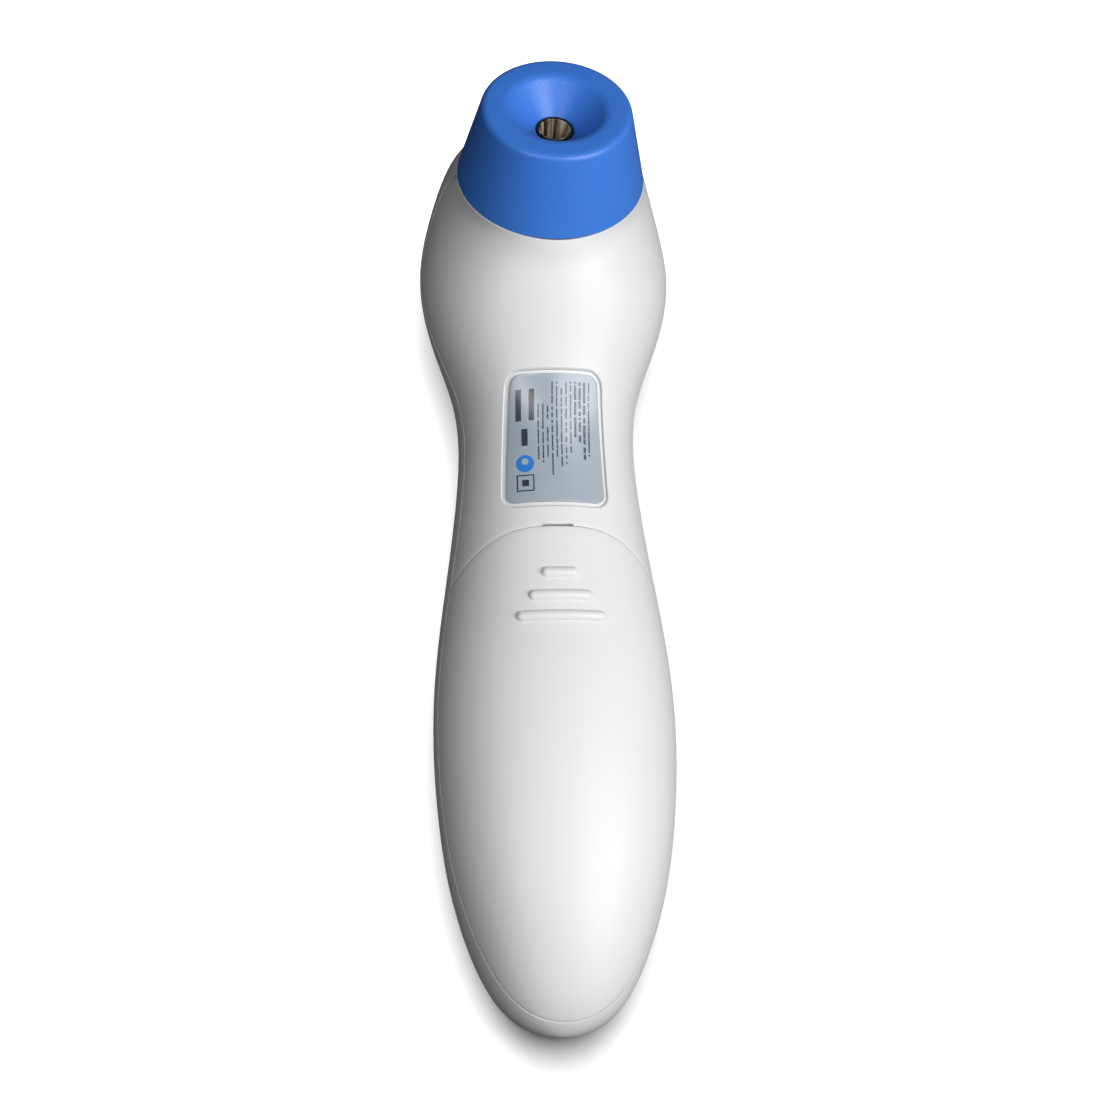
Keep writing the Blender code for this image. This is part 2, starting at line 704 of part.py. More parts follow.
def probe_cap():
    """The coloured end cap: a cone with a flat rim, a dish down to the bore, and a collar in the case."""
    bore_top = (BORE_R, DISH_FLOOR)
    rim_in = (DISH_R, CAP_TOP)
    rim_out = (CAP_SIDE_R, CAP_TOP)
    foot = (PROBE_BASE_R, GAP)
    profile = [
        bore_top,
        *fillet(bore_top, rim_in, rim_out, 1.2 * MM, 3),
        *fillet(rim_in, rim_out, foot, 1.8 * MM),
        foot,
        (COLLAR_R, GAP),
        (COLLAR_R, -COLLAR_DEPTH),
        (COLLAR_R - CAP_WALL, -COLLAR_DEPTH),
        (COLLAR_R - CAP_WALL, 3.0 * MM),
        (10.4 * MM, 12.2 * MM),
        (9.2 * MM, 13.2 * MM),
        (BORE_R + CAP_WALL, DISH_FLOOR - 1.4 * MM),
        (BORE_R + CAP_WALL, 7.6 * MM),
        (BORE_R, 7.6 * MM),
    ]
    place(turned("probe_cap", profile, 32, closed=True), "blue_cap", PROBE)


def sensor_parts():
    """The waveguide, its seal, and the thermopile with its holder and board, along the probe's axis."""
    ring = [(2.98, 10.15), (2.98, 9.65), (2.7, 9.65), (2.7, 10.15)]
    guide = [(2.6, 10.0), (2.6, 9.3), (2.85, 9.3), (2.85, 8.7), (2.55, 8.5), (2.55, 3.8)]
    guide += [(1.7, 3.8), (2.45, 10.0)]
    holder = [(5.0, 7.2), (5.2, 7.0), (5.2, -0.3), (11.0, -0.3), (11.0, -1.5), (3.0, -1.5), (3.0, 7.2)]
    can = [(0.0, 2.6), (1.6, 2.6), (1.6, 3.5), (2.3, 3.5), (2.35, 0.3), (2.7, 0.3), (2.7, 0.0), (0.0, 0.0)]
    lens = [(0.0, 3.3), (1.3, 3.3), (1.3, 2.9), (0.0, 2.9)]
    board = [(0.0, -1.8), (6.5, -1.8), (6.5, -3.0), (0.0, -3.0)]
    for name, points, steps, closed, finish in (
        ("probe_seal_ring", ring, 20, True, "black_plastic"),
        ("waveguide", guide, 20, True, "nickel"),
        ("sensor_holder", holder, 24, True, "grey_plastic"),
        ("thermopile_can", can, 16, False, "steel"),
        ("thermopile_window", lens, 12, False, "silicon"),
        ("sensor_board", board, 24, False, "board_green"),
    ):
        profile = [(r * MM, h * MM) for r, h in points]
        place(turned(name, profile, steps, closed), finish, PROBE)


def sensor_lead():
    """The lead from the sensor's board to its connector on the main board."""
    low = (-3.5 * MM, 119.0 * MM, BOARD_TOP)
    high = (3.5 * MM, 123.0 * MM, BOARD_TOP + 3.4 * MM)
    place(box("sensor_connector", low, high, 0.3 * MM), "light_guide")
    start = Vector((0, PROBE_BASE_Y, PROBE_BASE_Z)) - PROBE_AXIS * (3.0 * MM + GAP)
    points = [
        start,
        start - PROBE_AXIS * 2 * MM,
        (0.0, 135.2 * MM, 21.0 * MM),
        (0.0, 131.5 * MM, 14.0 * MM),
        (0.0, 127.0 * MM, 11.6 * MM),
        (0.0, high[1] + GAP, 11.4 * MM),
    ]
    place(wire("sensor_cable", points, 0.9 * MM), "light_guide")


# ---------------------------------------------------------------- electronics


def main_board():
    neck, head = 11.2 * MM, 13.4 * MM
    outline = [(-neck, 81.5), (neck, 81.5), (neck, 108.5), (head, 112.5), (head, 140.0), (-head, 140.0),
               (-head, 112.5), (-neck, 108.5)]
    corners = [(x, y * MM) for x, y in outline]
    holes = [circle(SCREW_HOLE_R, (side * BOARD_SCREWS[0], BOARD_SCREWS[1]), 12) for side in (-1, 1)]
    place(plate("main_board", [rounded(corners, 1.5 * MM, 3), *holes], *BOARD_Z), "board_green")


def board_parts():
    """What stands on the board's upper side: (low corner x, y, size, finish) in millimetres."""
    chips = {
        "processor_chip": ((-3.5, 109.0), (7.0, 7.0, 1.2), "black_plastic"),
        "memory_chip": ((6.0, 114.0), (4.0, 5.0, 1.2), "black_plastic"),
        "clock_crystal": ((-9.5, 112.0), (3.2, 8.0, 1.6), "steel"),
    }
    for name, ((x, y), size, finish) in chips.items():
        low = (x * MM, y * MM, BOARD_TOP)
        high = tuple(a + b * MM for a, b in zip(low, size))
        place(box(name, low, high, 0.2 * MM), finish)
    top = BOARD_TOP
    buzzer = [(0, 3.2), (1.0, 3.2), (1.0, 2.9), (5.4, 2.9), (5.6, 2.7), (5.6, 0), (0, 0)]
    capacitor = [(0, 5.4), (2.2, 5.4), (2.5, 5.1), (2.5, 0), (0, 0)]
    for name, points, (x, y) in (
        ("buzzer", buzzer, (-4.6, 93.0)),
        ("supply_capacitor", capacitor, (6.4, 98.0)),
    ):
        profile = [(r * MM, h * MM) for r, h in points]
        place(turned(name, profile, 24), "black_plastic", CASE, (x * MM, y * MM, top))


def display_stack():
    """Window, glass, light guide and contact strip, in their frame under the board."""
    window = rectangle(*WINDOW_HALF, DISPLAY_Y, 1.8 * MM)
    place(plate("display_window", [window], *WINDOW_Z), "smoked_window")
    outer = rectangle(11.2 * MM, 13.4 * MM, DISPLAY_Y, 1.5 * MM)
    inner = rectangle(10.4 * MM, 12.6 * MM, DISPLAY_Y, 0.5 * MM)
    place(plate("display_frame", [outer, inner], 4.9 * MM, 7.6 * MM), "grey_plastic")
    low, high = DISPLAY_Y - 12.3 * MM, DISPLAY_Y + 12.3 * MM
    half = 10.1 * MM
    place(box("lcd_glass", (-half, low, 3.6 * MM), (half, high, 5.2 * MM), 0.2 * MM), "lcd")
    guide = box("backlight", (-half, low + 3 * MM, 5.5 * MM), (half, high, 7.6 * MM), 0.2 * MM)
    place(guide, "light_guide")
    place(box("contact_strip", (-half, low, 5.5 * MM), (half, low + 2.2 * MM, 7.7 * MM)), "button_grey")


def button(name, y, radius, parent):
    """A round button with the flange that keeps it in the case, turned on its own press axis."""
    flange = radius + 1.2 * MM
    face = BUTTON_FACE_Z
    profile = [
        (0.0, 3.9 * MM),
        (1.8 * MM, 3.9 * MM),
        (1.8 * MM, 3.3 * MM),
        (flange, 3.3 * MM),
        (flange, 2.5 * MM),
        (radius, 2.5 * MM),
        (radius, face + 0.4 * MM),
        (radius - 0.5 * MM, face),
        (0.0, face),
    ]
    place(turned(f"{name}_button", profile, 24), "button_grey", parent)
    plunger = [(0.0, 6.2 * MM), (1.5 * MM, 6.2 * MM), (1.5 * MM, 4.2 * MM), (0.0, 4.2 * MM)]
    place(turned(f"{name}_plunger", plunger, 16), "black_plastic", parent)
    half = 3.0 * MM
    body = box(f"{name}_switch", (-half, y - half, 5.0 * MM), (half, y + half, BOARD_Z[0] - GAP))
    place(body, "steel")
    bore = cylinder(f"{name}_switch_bore", 1.5 * MM + GAP, 4.0 * MM, 7.1 * MM, (0.0, y), 16)
    combine(body, bore, "DIFFERENCE")


# ---------------------------------------------------------------- battery bay


def deck_outline(inset):
    """The parting line moved inwards, as the outline of the deck."""
    right = []
    for t in np.linspace(2.2, 7.4, 12):
        edge = surface_point(t, parting_angle(t, 0.0))
        right.append((edge.x - inset, edge.y))
    return right + [(-x, y) for x, y in reversed(right)]


def battery_tray():
    """The deck over the front shell, with the tub for the two cells and the door's rails."""
    obj = place(plate("battery_tray", [deck_outline(2.9 * MM)], *DECK_Z), "white_case")
    tail_half, wide_y = TUB_TAIL
    for name, half, start, end, top in (
        ("tub_base", TUB_HALF, TUB_Y[0], TUB_Y[1], DECK_Z[1] - 0.05 * MM),
        ("tub_walls", TUB_HALF - 0.05 * MM, wide_y, TUB_Y[1] - 0.05 * MM, TUB_TOP),
        ("tub_tail", tail_half, TUB_Y[0] + 0.05 * MM, wide_y + 1 * MM, TUB_TOP - 0.1 * MM),
    ):
        combine(obj, box(name, (-half, start, TUB_FLOOR[0]), (half, end, top)), "UNION")
    for side in (-1, 1):
        xs = sorted((side * (TUB_HALF - 0.6 * MM), side * (TUB_HALF + 0.75 * MM)))
        low, high = (xs[0], RAIL_Y[0], 17.2 * MM), (xs[1], RAIL_Y[1], TUB_TOP - 0.3 * MM)
        combine(obj, box(f"rail_{side + 1}", low, high), "UNION")
    cavity = box(
        "tub_cavity",
        (-TUB_HALF + TUB_WALL, TUB_Y[0] + 1.5 * MM, TUB_FLOOR[1]),
        (TUB_HALF - TUB_WALL, TUB_Y[1] - 1.5 * MM, TUB_TOP + 4 * MM),
    )
    combine(obj, cavity, "DIFFERENCE")
    for side in (-1, 1):
        tab = box(
            f"tab_slot_{side + 1}",
            (side * CELL_X - 1.3 * MM, TUB_Y[1] - 3 * MM, 12.0 * MM),
            (side * CELL_X + 1.3 * MM, TUB_Y[1] + 3 * MM, 13.5 * MM),
        )
        combine(obj, tab, "DIFFERENCE")
        centre = (side * TRAY_SCREWS[0], TRAY_SCREWS[1])
        hole = cylinder(f"deck_hole_{side + 1}", SCREW_HOLE_R, 10 * MM, 18 * MM, centre, 12)
        combine(obj, hole, "DIFFERENCE")


def cells():
    """Two cells of the AAA size, head to tail, turned along Y."""
    shell = CELL_LENGTH - CELL_NUB
    profile = [
        (0.0, CELL_LENGTH),
        (1.8 * MM, CELL_LENGTH),
        (1.8 * MM, shell),
        (CELL_R - 0.4 * MM, shell),
        (CELL_R, shell - 0.4 * MM),
        (CELL_R, 0.4 * MM),
        (CELL_R - 0.4 * MM, 0.0),
        (0.0, 0.0),
    ]
    for name, x, y, turn in (
        ("battery_left", -CELL_X, 22.7 * MM, -math.pi / 2),
        ("battery_right", CELL_X, 62.9 * MM, math.pi / 2),
    ):
        cell = place(turned(name, profile, 24), "cell_jacket", CASE, (x, y, CELL_Z))
        cell.rotation_euler = (turn, 0.0, 0.0)


def contacts():
    """Spring contacts, the bridge between the cells at the tail, and the terminals at the other end."""
    low, high = 12.3 * MM, 18.0 * MM
    bridge_y = (17.6 * MM, 18.0 * MM)
    place(box("contact_bridge", (-9.5 * MM, bridge_y[0], low), (9.5 * MM, bridge_y[1], high)), "nickel")
    plate_y = (67.5 * MM, 67.9 * MM)
    for name, x in (("positive_contact", -CELL_X), ("negative_contact", CELL_X)):
        obj = place(box(name, (x - 4 * MM, plate_y[0], low), (x + 4 * MM, plate_y[1], high)), "nickel")
        tail = box(name + "_tail", (x - 0.9 * MM, plate_y[0] + 0.1 * MM, 12.35 * MM),
                   (x + 0.9 * MM, TUB_Y[1] + 1.2 * MM, 13.1 * MM))
        combine(obj, tail, "UNION")
    for name, x, start, length in (
        ("tail_spring", -CELL_X, bridge_y[1] + GAP, 4.1 * MM),
        ("head_spring", CELL_X, plate_y[0] - GAP, -4.0 * MM),
    ):
        place(coil(name, (x, start, CELL_Z - 0.6 * MM), length), "steel")


def coil(name, base, length, turns=3.5, points_a_turn=8):
    """A conical contact spring along Y, wide at its base."""
    wire_r = 0.3 * MM
    wide, narrow = 3.0 * MM, 1.6 * MM
    curve = bpy.data.curves.new(name, "CURVE")
    curve.dimensions = "3D"
    curve.bevel_depth = wire_r
    curve.bevel_resolution = 1
    curve.use_fill_caps = True
    count = int(turns * points_a_turn)
    spline = curve.splines.new("POLY")
    spline.points.add(count)
    margin = math.copysign(wire_r, length)
    for i, point in enumerate(spline.points):
        u = i / count
        radius = wide + (narrow - wide) * u
        angle = 2 * math.pi * turns * u
        y = base[1] + margin + (length - 2 * margin) * u
        point.co = (base[0] + radius * math.cos(angle), y, base[2] + radius * math.sin(angle), 1.0)
    return bpy.data.objects.new(name, curve)


def battery_leads():
    """The two leads from the contacts' tails to the board."""
    start_y = TUB_Y[1] + 1.2 * MM + GAP
    for name, x, finish in (
        ("positive_lead", -CELL_X, "lead_red"),
        ("negative_lead", CELL_X, "lead_black"),
    ):
        points = [
            (x, start_y, 12.7 * MM),
            (x * 0.75, start_y + 3.5 * MM, 12.6 * MM),
            (x * 0.45, 79.0 * MM, 12.0 * MM),
            (x * 0.4, 82.5 * MM, 10.8 * MM),
            (x * 0.4, 85.5 * MM, BOARD_TOP + 0.7 * MM),
        ]
        place(wire(name, points, 0.6 * MM), finish)


def screws():
    """Pan-head screws of the case, the tray and the board, each on its boss."""
    for name, (x, y), seat, depth in (
        ("case_screw", CASE_SCREWS, FLANGE_Z[1], 9.0 * MM),
        ("tray_screw", TRAY_SCREWS, DECK_Z[1], 7.5 * MM),
        ("board_screw", BOARD_SCREWS, BOARD_Z[1], 4.6 * MM),
    ):
        profile = [
            (0.0, GAP + 1.3 * MM),
            (1.4 * MM, GAP + 1.2 * MM),
            (2.1 * MM, GAP + 0.6 * MM),
            (2.1 * MM, GAP),
            (SCREW_R, GAP),
            (SCREW_R, -depth + 0.8 * MM),
            (0.0, -depth),
        ]
        for side, word in ((-1, "left"), (1, "right")):
            place(turned(f"{name}_{word}", profile, 12), "steel", CASE, (side * x, y, seat))


def build():
    front_shell()
    back_cover()
    battery_door(new_empty("door_slide", (0.0, 0.0, 0.0), CASE))
    rating_label()
    probe_cap()
    sensor_parts()
    sensor_lead()
    main_board()
    board_parts()
    display_stack()
    for name, (y, radius) in BUTTONS.items():
        button(name, y, radius, new_empty(f"{name}_press", (0.0, y, 0.0), CASE))
    battery_tray()
    cells()
    contacts()
    battery_leads()
    screws()
    for obj in PARTS.objects:
        if obj.type == "MESH":
            obj.data.set_sharp_from_angle(angle=math.radians(35))
            obj.data.shade_smooth()


build()
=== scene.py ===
"""Looks of the infrared forehead thermometer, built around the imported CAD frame.

The case shells, the probe, the label, the buttons, the cells and the fasteners are made again as fine
meshes in the places that the frame gives. The other CAD pieces keep their shape and get a finish.
Lengths are in metres. +Z is the back of the case and +Y runs from the tail to the probe.
"""

from __future__ import annotations

import json
import logging
import math
from dataclasses import dataclass, field
from enum import Enum
from typing import Any, Callable, Sequence

import bmesh
import bpy
import numpy as np
from mathutils import Matrix, Vector

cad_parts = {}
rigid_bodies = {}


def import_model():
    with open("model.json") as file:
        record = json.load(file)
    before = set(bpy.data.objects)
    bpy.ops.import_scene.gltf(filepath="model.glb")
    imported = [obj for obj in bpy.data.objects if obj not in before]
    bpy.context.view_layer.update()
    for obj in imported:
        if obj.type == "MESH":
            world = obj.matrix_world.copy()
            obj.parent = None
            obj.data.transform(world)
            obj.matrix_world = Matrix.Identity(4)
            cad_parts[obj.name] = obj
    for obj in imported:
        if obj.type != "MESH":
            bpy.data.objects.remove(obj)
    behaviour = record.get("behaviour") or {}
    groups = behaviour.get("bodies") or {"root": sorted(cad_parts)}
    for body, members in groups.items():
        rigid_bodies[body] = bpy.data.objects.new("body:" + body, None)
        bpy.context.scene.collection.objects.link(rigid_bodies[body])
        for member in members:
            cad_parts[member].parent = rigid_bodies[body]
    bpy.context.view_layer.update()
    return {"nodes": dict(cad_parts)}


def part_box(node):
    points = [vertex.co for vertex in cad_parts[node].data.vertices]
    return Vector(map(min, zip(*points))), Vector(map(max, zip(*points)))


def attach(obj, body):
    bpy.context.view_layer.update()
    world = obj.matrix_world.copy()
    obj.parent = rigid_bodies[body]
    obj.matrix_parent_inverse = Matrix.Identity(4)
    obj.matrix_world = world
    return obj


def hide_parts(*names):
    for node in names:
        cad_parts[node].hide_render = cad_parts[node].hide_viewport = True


LOG = logging.getLogger("thermometer")
MM = 0.001
Point = tuple[float, float]
Triple = tuple[float, float, float]
Colour = Triple
Socket = bpy.types.NodeSocket
Mesh = bpy.types.Mesh
Material = bpy.types.Material
Object = bpy.types.Object


class Body(Enum):
    """The rigid bodies of the frame."""

    CASE = "case"
    DOOR = "battery_door"
    MEASURE = "measure_button"
    MODE = "mode_button"


# ------------------------------------------------------------------------------------ node networks


class Network:
    """A node tree with one method that adds every kind of node."""

    def __init__(self, tree: bpy.types.NodeTree) -> None:
        """Wrap a node tree.

        Args:
            tree: The shader or geometry tree to build in.
        """
        self.tree = tree

    def node(
        self, kind: str, settings: dict[str, Any] | None = None, inputs: dict[Any, Any] | None = None
    ) -> bpy.types.Node:
        """Add a node, set it up, then feed its sockets.

        Args:
            kind: The node's type name.
            settings: Attributes such as an operation, set before any socket.
            inputs: Values, fields or sockets by input name or index.

        Returns:
            The new node.
        """
        made = self.tree.nodes.new(kind)
        for name, value in (settings or {}).items():
            setattr(made, name, value)
        for name, value in (inputs or {}).items():
            self.feed(made.inputs[name], value)
        return made

    def feed(self, socket: Socket, value: Any) -> None:
        """Give an input its value, or a link where the value is a field or a socket.

        Args:
            socket: The input.
            value: A number, colour, vector, material, Field or output socket.
        """
        if isinstance(value, Field):
            value = value.socket
        if isinstance(value, Socket):
            self.tree.links.new(value, socket)
        elif isinstance(value, tuple) and len(value) == 3 and socket.type == "RGBA":
            socket.default_value = (*value, 1.0)
        else:
            socket.default_value = value

    def axes(self, vector: Socket) -> tuple[Field, Field, Field]:
        """A vector's three parts.

        Args:
            vector: The vector socket.

        Returns:
            Its X, Y and Z.
        """
        made = self.node("ShaderNodeSeparateXYZ", None, {0: vector})
        return tuple(Field(self, made.outputs[i]) for i in range(3))

    def vector(self, x: Field | float, y: Field | float, z: Field | float) -> Socket:
        """A vector from three parts."""
        return self.node("ShaderNodeCombineXYZ", None, {0: x, 1: y, 2: z}).outputs[0]


class Field:
    """A socket that takes part in arithmetic. Each expression adds its Math nodes."""

    def __init__(self, network: Network, socket: Socket) -> None:
        """Wrap a socket.

        Args:
            network: The tree that holds it.
            socket: A float output.
        """
        self.network = network
        self.socket = socket

    def math(self, operation: str, *others: Field | float) -> Field:
        """Apply a Math node.

        Args:
            operation: The node's operation.
            others: Its second and third inputs.

        Returns:
            The result.
        """
        inputs = dict(enumerate((self, *others)))
        made = self.network.node("ShaderNodeMath", {"operation": operation}, inputs)
        return Field(self.network, made.outputs[0])

    def _swapped(self, operation: str, other: float) -> Field:
        """Apply a Math node with this field as its second input."""
        made = self.network.node("ShaderNodeMath", {"operation": operation}, {0: other, 1: self})
        return Field(self.network, made.outputs[0])

    def __add__(self, other: Field | float) -> Field:
        """Sum."""
        return self.math("ADD", other)

    __radd__ = __add__

    def __sub__(self, other: Field | float) -> Field:
        """Difference."""
        return self.math("SUBTRACT", other)

    def __rsub__(self, other: float) -> Field:
        """Difference from a number."""
        return self._swapped("SUBTRACT", other)

    def __mul__(self, other: Field | float) -> Field:
        """Product."""
        return self.math("MULTIPLY", other)

    __rmul__ = __mul__

    def __truediv__(self, other: Field | float) -> Field:
        """Quotient."""
        return self.math("DIVIDE", other)

    def __gt__(self, other: Field | float) -> Field:
        """1 where greater, else 0."""
        return self.math("GREATER_THAN", other)

    def __lt__(self, other: Field | float) -> Field:
        """1 where less, else 0."""
        return self.math("LESS_THAN", other)

    def between(self, low: float, high: float) -> Field:
        """1 between two values, else 0."""
        return (self > low) * (self < high)


class Surface(Network):
    """A material's network, ending in one Principled shader."""

    def __init__(self, name: str) -> None:
        """Make a material with an empty network.

        Args:
            name: The material's name.
        """
        self.material = bpy.data.materials.new(name)
        self.material.use_nodes = True
        super().__init__(self.material.node_tree)
        self.tree.nodes.clear()

    def place(self, offset: Vector | None = None, turn_x: float = 0.0) -> Socket:
        """Object coordinates, moved and turned about X where asked.

        Args:
            offset: The point that becomes the origin.
            turn_x: The tilt to undo, in radians.

        Returns:
            The vector socket.
        """
        here = self.node("ShaderNodeTexCoord").outputs["Object"]
        if offset is None:
            return here
        moved = self.node("ShaderNodeVectorMath", {"operation": "SUBTRACT"}, {0: here, 1: tuple(offset)})
        if not turn_x:
            return moved.outputs[0]
        inputs = {"Vector": moved.outputs[0], "Angle": -turn_x}
        return self.node("ShaderNodeVectorRotate", {"rotation_type": "X_AXIS"}, inputs).outputs[0]

    def noise(self, vector: Socket, size: float, detail: float = 2.0, rough: float = 0.5) -> Field:
        """Noise with features of a given size.

        Args:
            vector: Where to read it.
            size: The size of a feature in the vector's units.
            detail: Octaves.
            rough: How strong the fine octaves are.

        Returns:
            A field around 0.5.
        """
        inputs = {"Vector": vector, "Scale": 1 / size, "Detail": detail, "Roughness": rough}
        return Field(self, self.node("ShaderNodeTexNoise", None, inputs).outputs["Fac"])

    def blend(self, mask: Field | float, low: Any, high: Any) -> Socket:
        """Mix two colours.

        Args:
            mask: 0 gives low and 1 gives high.
            low: A colour or colour socket.
            high: A colour or colour socket.

        Returns:
            The colour socket.
        """
        made = self.tree.nodes.new("ShaderNodeMix")
        made.data_type = "RGBA"
        colours = [s for s in made.inputs if s.type == "RGBA"]
        self.feed(made.inputs[0], mask)
        self.feed(colours[0], low)
        self.feed(colours[1], high)
        return next(s for s in made.outputs if s.type == "RGBA")

    def bump(self, height: Field, depth: float, below: Socket | None = None) -> Socket:
        """A bump of a given depth.

        Args:
            height: Height from 0 to 1.
            depth: What 1 stands for, in metres.
            below: A normal to build on.

        Returns:
            The normal socket.
        """
        inputs: dict[str, Any] = {"Height": height, "Distance": depth, "Strength": 1.0}
        if below is not None:
            inputs["Normal"] = below
        return self.node("ShaderNodeBump", None, inputs).outputs["Normal"]

    def finish(self, inputs: dict[str, Any]) -> Material:
        """End the network in a Principled shader.

        Args:
            inputs: The shader's sockets.

        Returns:
            The material.
        """
        shader = self.node("ShaderNodeBsdfPrincipled", None, inputs)
        self.node("ShaderNodeOutputMaterial", None, {"Surface": shader.outputs[0]})
        return self.material


# ------------------------------------------------------------------------------------ finishes


@dataclass(frozen=True)
class MouldedPlastic:
    """Injection-moulded plastic with a fine spark-eroded grain and a faint unevenness."""

    name: str
    colour: Colour
    shade: Colour
    roughness: float
    spread: float = 0.05
    grain: float = 0.16 * MM
    grain_depth: float = 0.004 * MM
    flow: float = 14 * MM

    def make(self) -> Material:
        """Build the material.

        Returns:
            The material.
        """
        surface = Surface(self.name)
        here = surface.place()
        grain = surface.noise(here, self.grain, 3.0, 0.6)
        flow = surface.noise(here, self.flow, 2.0)
        rub = surface.noise(here, self.flow / 5, 4.0, 0.65)
        ripple = surface.bump(flow, 0.02 * MM)
        return surface.finish(
            {
                "Base Color": surface.blend(flow, self.colour, self.shade),
                "Roughness": self.roughness + (rub - 0.5) * self.spread + (grain - 0.5) * self.spread,
                "Normal": surface.bump(grain, self.grain_depth, ripple),
                "IOR": 1.5,
            }
        )


@dataclass(frozen=True)
class DrawnMetal:
    """Metal with either fine lines round an axis and a slow change of tint, or painted reflection streaks
    along an axis: pale gold bands between bands of near-black painted shade.
    """

    name: str
    colour: Colour
    # The second colour, where the lines are strong: a darker tint on lined metal, and on streaked metal the
    # near-black painted shade between the painted reflection streaks.
    tint_and_painted_shade: Colour
    roughness: float
    lines: float = 0.05 * MM
    depth: float = 0.001 * MM
    centre: Point = (0.0, 0.0)
    tilt: float = 0.0
    # True paints reflection streaks along the axis; False gives fine lines round it.
    along: bool = True

    def make(self) -> Material:
        """Build the material.

        Returns:
            The material.
        """
        surface = Surface(self.name)
        here = surface.place(Vector((0.0, *self.centre)), self.tilt)
        x, y, z = surface.axes(here)
        angle = y.math("ARCTAN2", x)
        metal: Field | float = 1.0
        # Painted reflection: bands round the angle, pale gold and mostly diffuse where the streaks are weak,
        # near-black painted shade with more metal where they are strong.
        if self.along:
            lines_and_painted_streaks = surface.noise(surface.vector(angle, z * 25.0, 0.0), 0.42, 2.0, 0.5)
            lines_and_painted_streaks = ((lines_and_painted_streaks - 0.5) * 4.5 + 0.5).math("MAXIMUM", 0.0).math("MINIMUM", 1.0)
            metal = 0.35 + lines_and_painted_streaks * 0.6
        else:
            lines_and_painted_streaks = surface.noise(surface.vector(z, z * 0.5, angle * 0.02 * MM), self.lines, 3.0, 0.6)
        smear = surface.noise(here, 1.5 * MM, 2.0)
        return surface.finish(
            {
                "Base Color": surface.blend(lines_and_painted_streaks * 0.8 + smear * 0.2, self.colour, self.tint_and_painted_shade),
                "Metallic": metal,
                "Roughness": self.roughness + (lines_and_painted_streaks - 0.5) * 0.1,
                "Normal": surface.bump(lines_and_painted_streaks, self.depth),
            }
        )


@dataclass(frozen=True)
class SolderMask:
    """A green board with tracks under its mask and tinned pads."""

    name: str
    green: Colour = (0.012, 0.13, 0.05)
    track: Colour = (0.03, 0.24, 0.09)
    tin: Colour = (0.62, 0.6, 0.56)
    pitch: float = 1.9 * MM

    def make(self) -> Material:
        """Build the material.

        Returns:
            The material.
        """
        surface = Surface(self.name)
        here = surface.place()
        x, y, _ = surface.axes(here)
        bend = (surface.noise(here, 6 * MM, 0.0) - 0.5) * (4 * MM)
        lane = ((x + bend) / self.pitch).math("FRACT")
        route = surface.noise(surface.vector(x * 0.3, y * 0.15, 0.0), 1 * MM, 0.0)
        tracks = lane.between(0.3, 0.62) * (route > 0.42)
        dot_x = (x / self.pitch).math("FRACT") - 0.5
        dot_y = (y / self.pitch).math("FRACT") - 0.5
        spot = (dot_x * dot_x + dot_y * dot_y) < 0.03
        pads = spot * (surface.noise(here, 3.5 * MM, 0.0) > 0.6)
        colour = surface.blend(pads, surface.blend(tracks, self.green, self.track), self.tin)
        return surface.finish(
            {
                "Base Color": colour,
                "Metallic": pads * 0.9,
                "Roughness": 0.38 - pads * 0.1,
                "Normal": surface.bump(tracks + pads, 0.03 * MM),
            }
        )


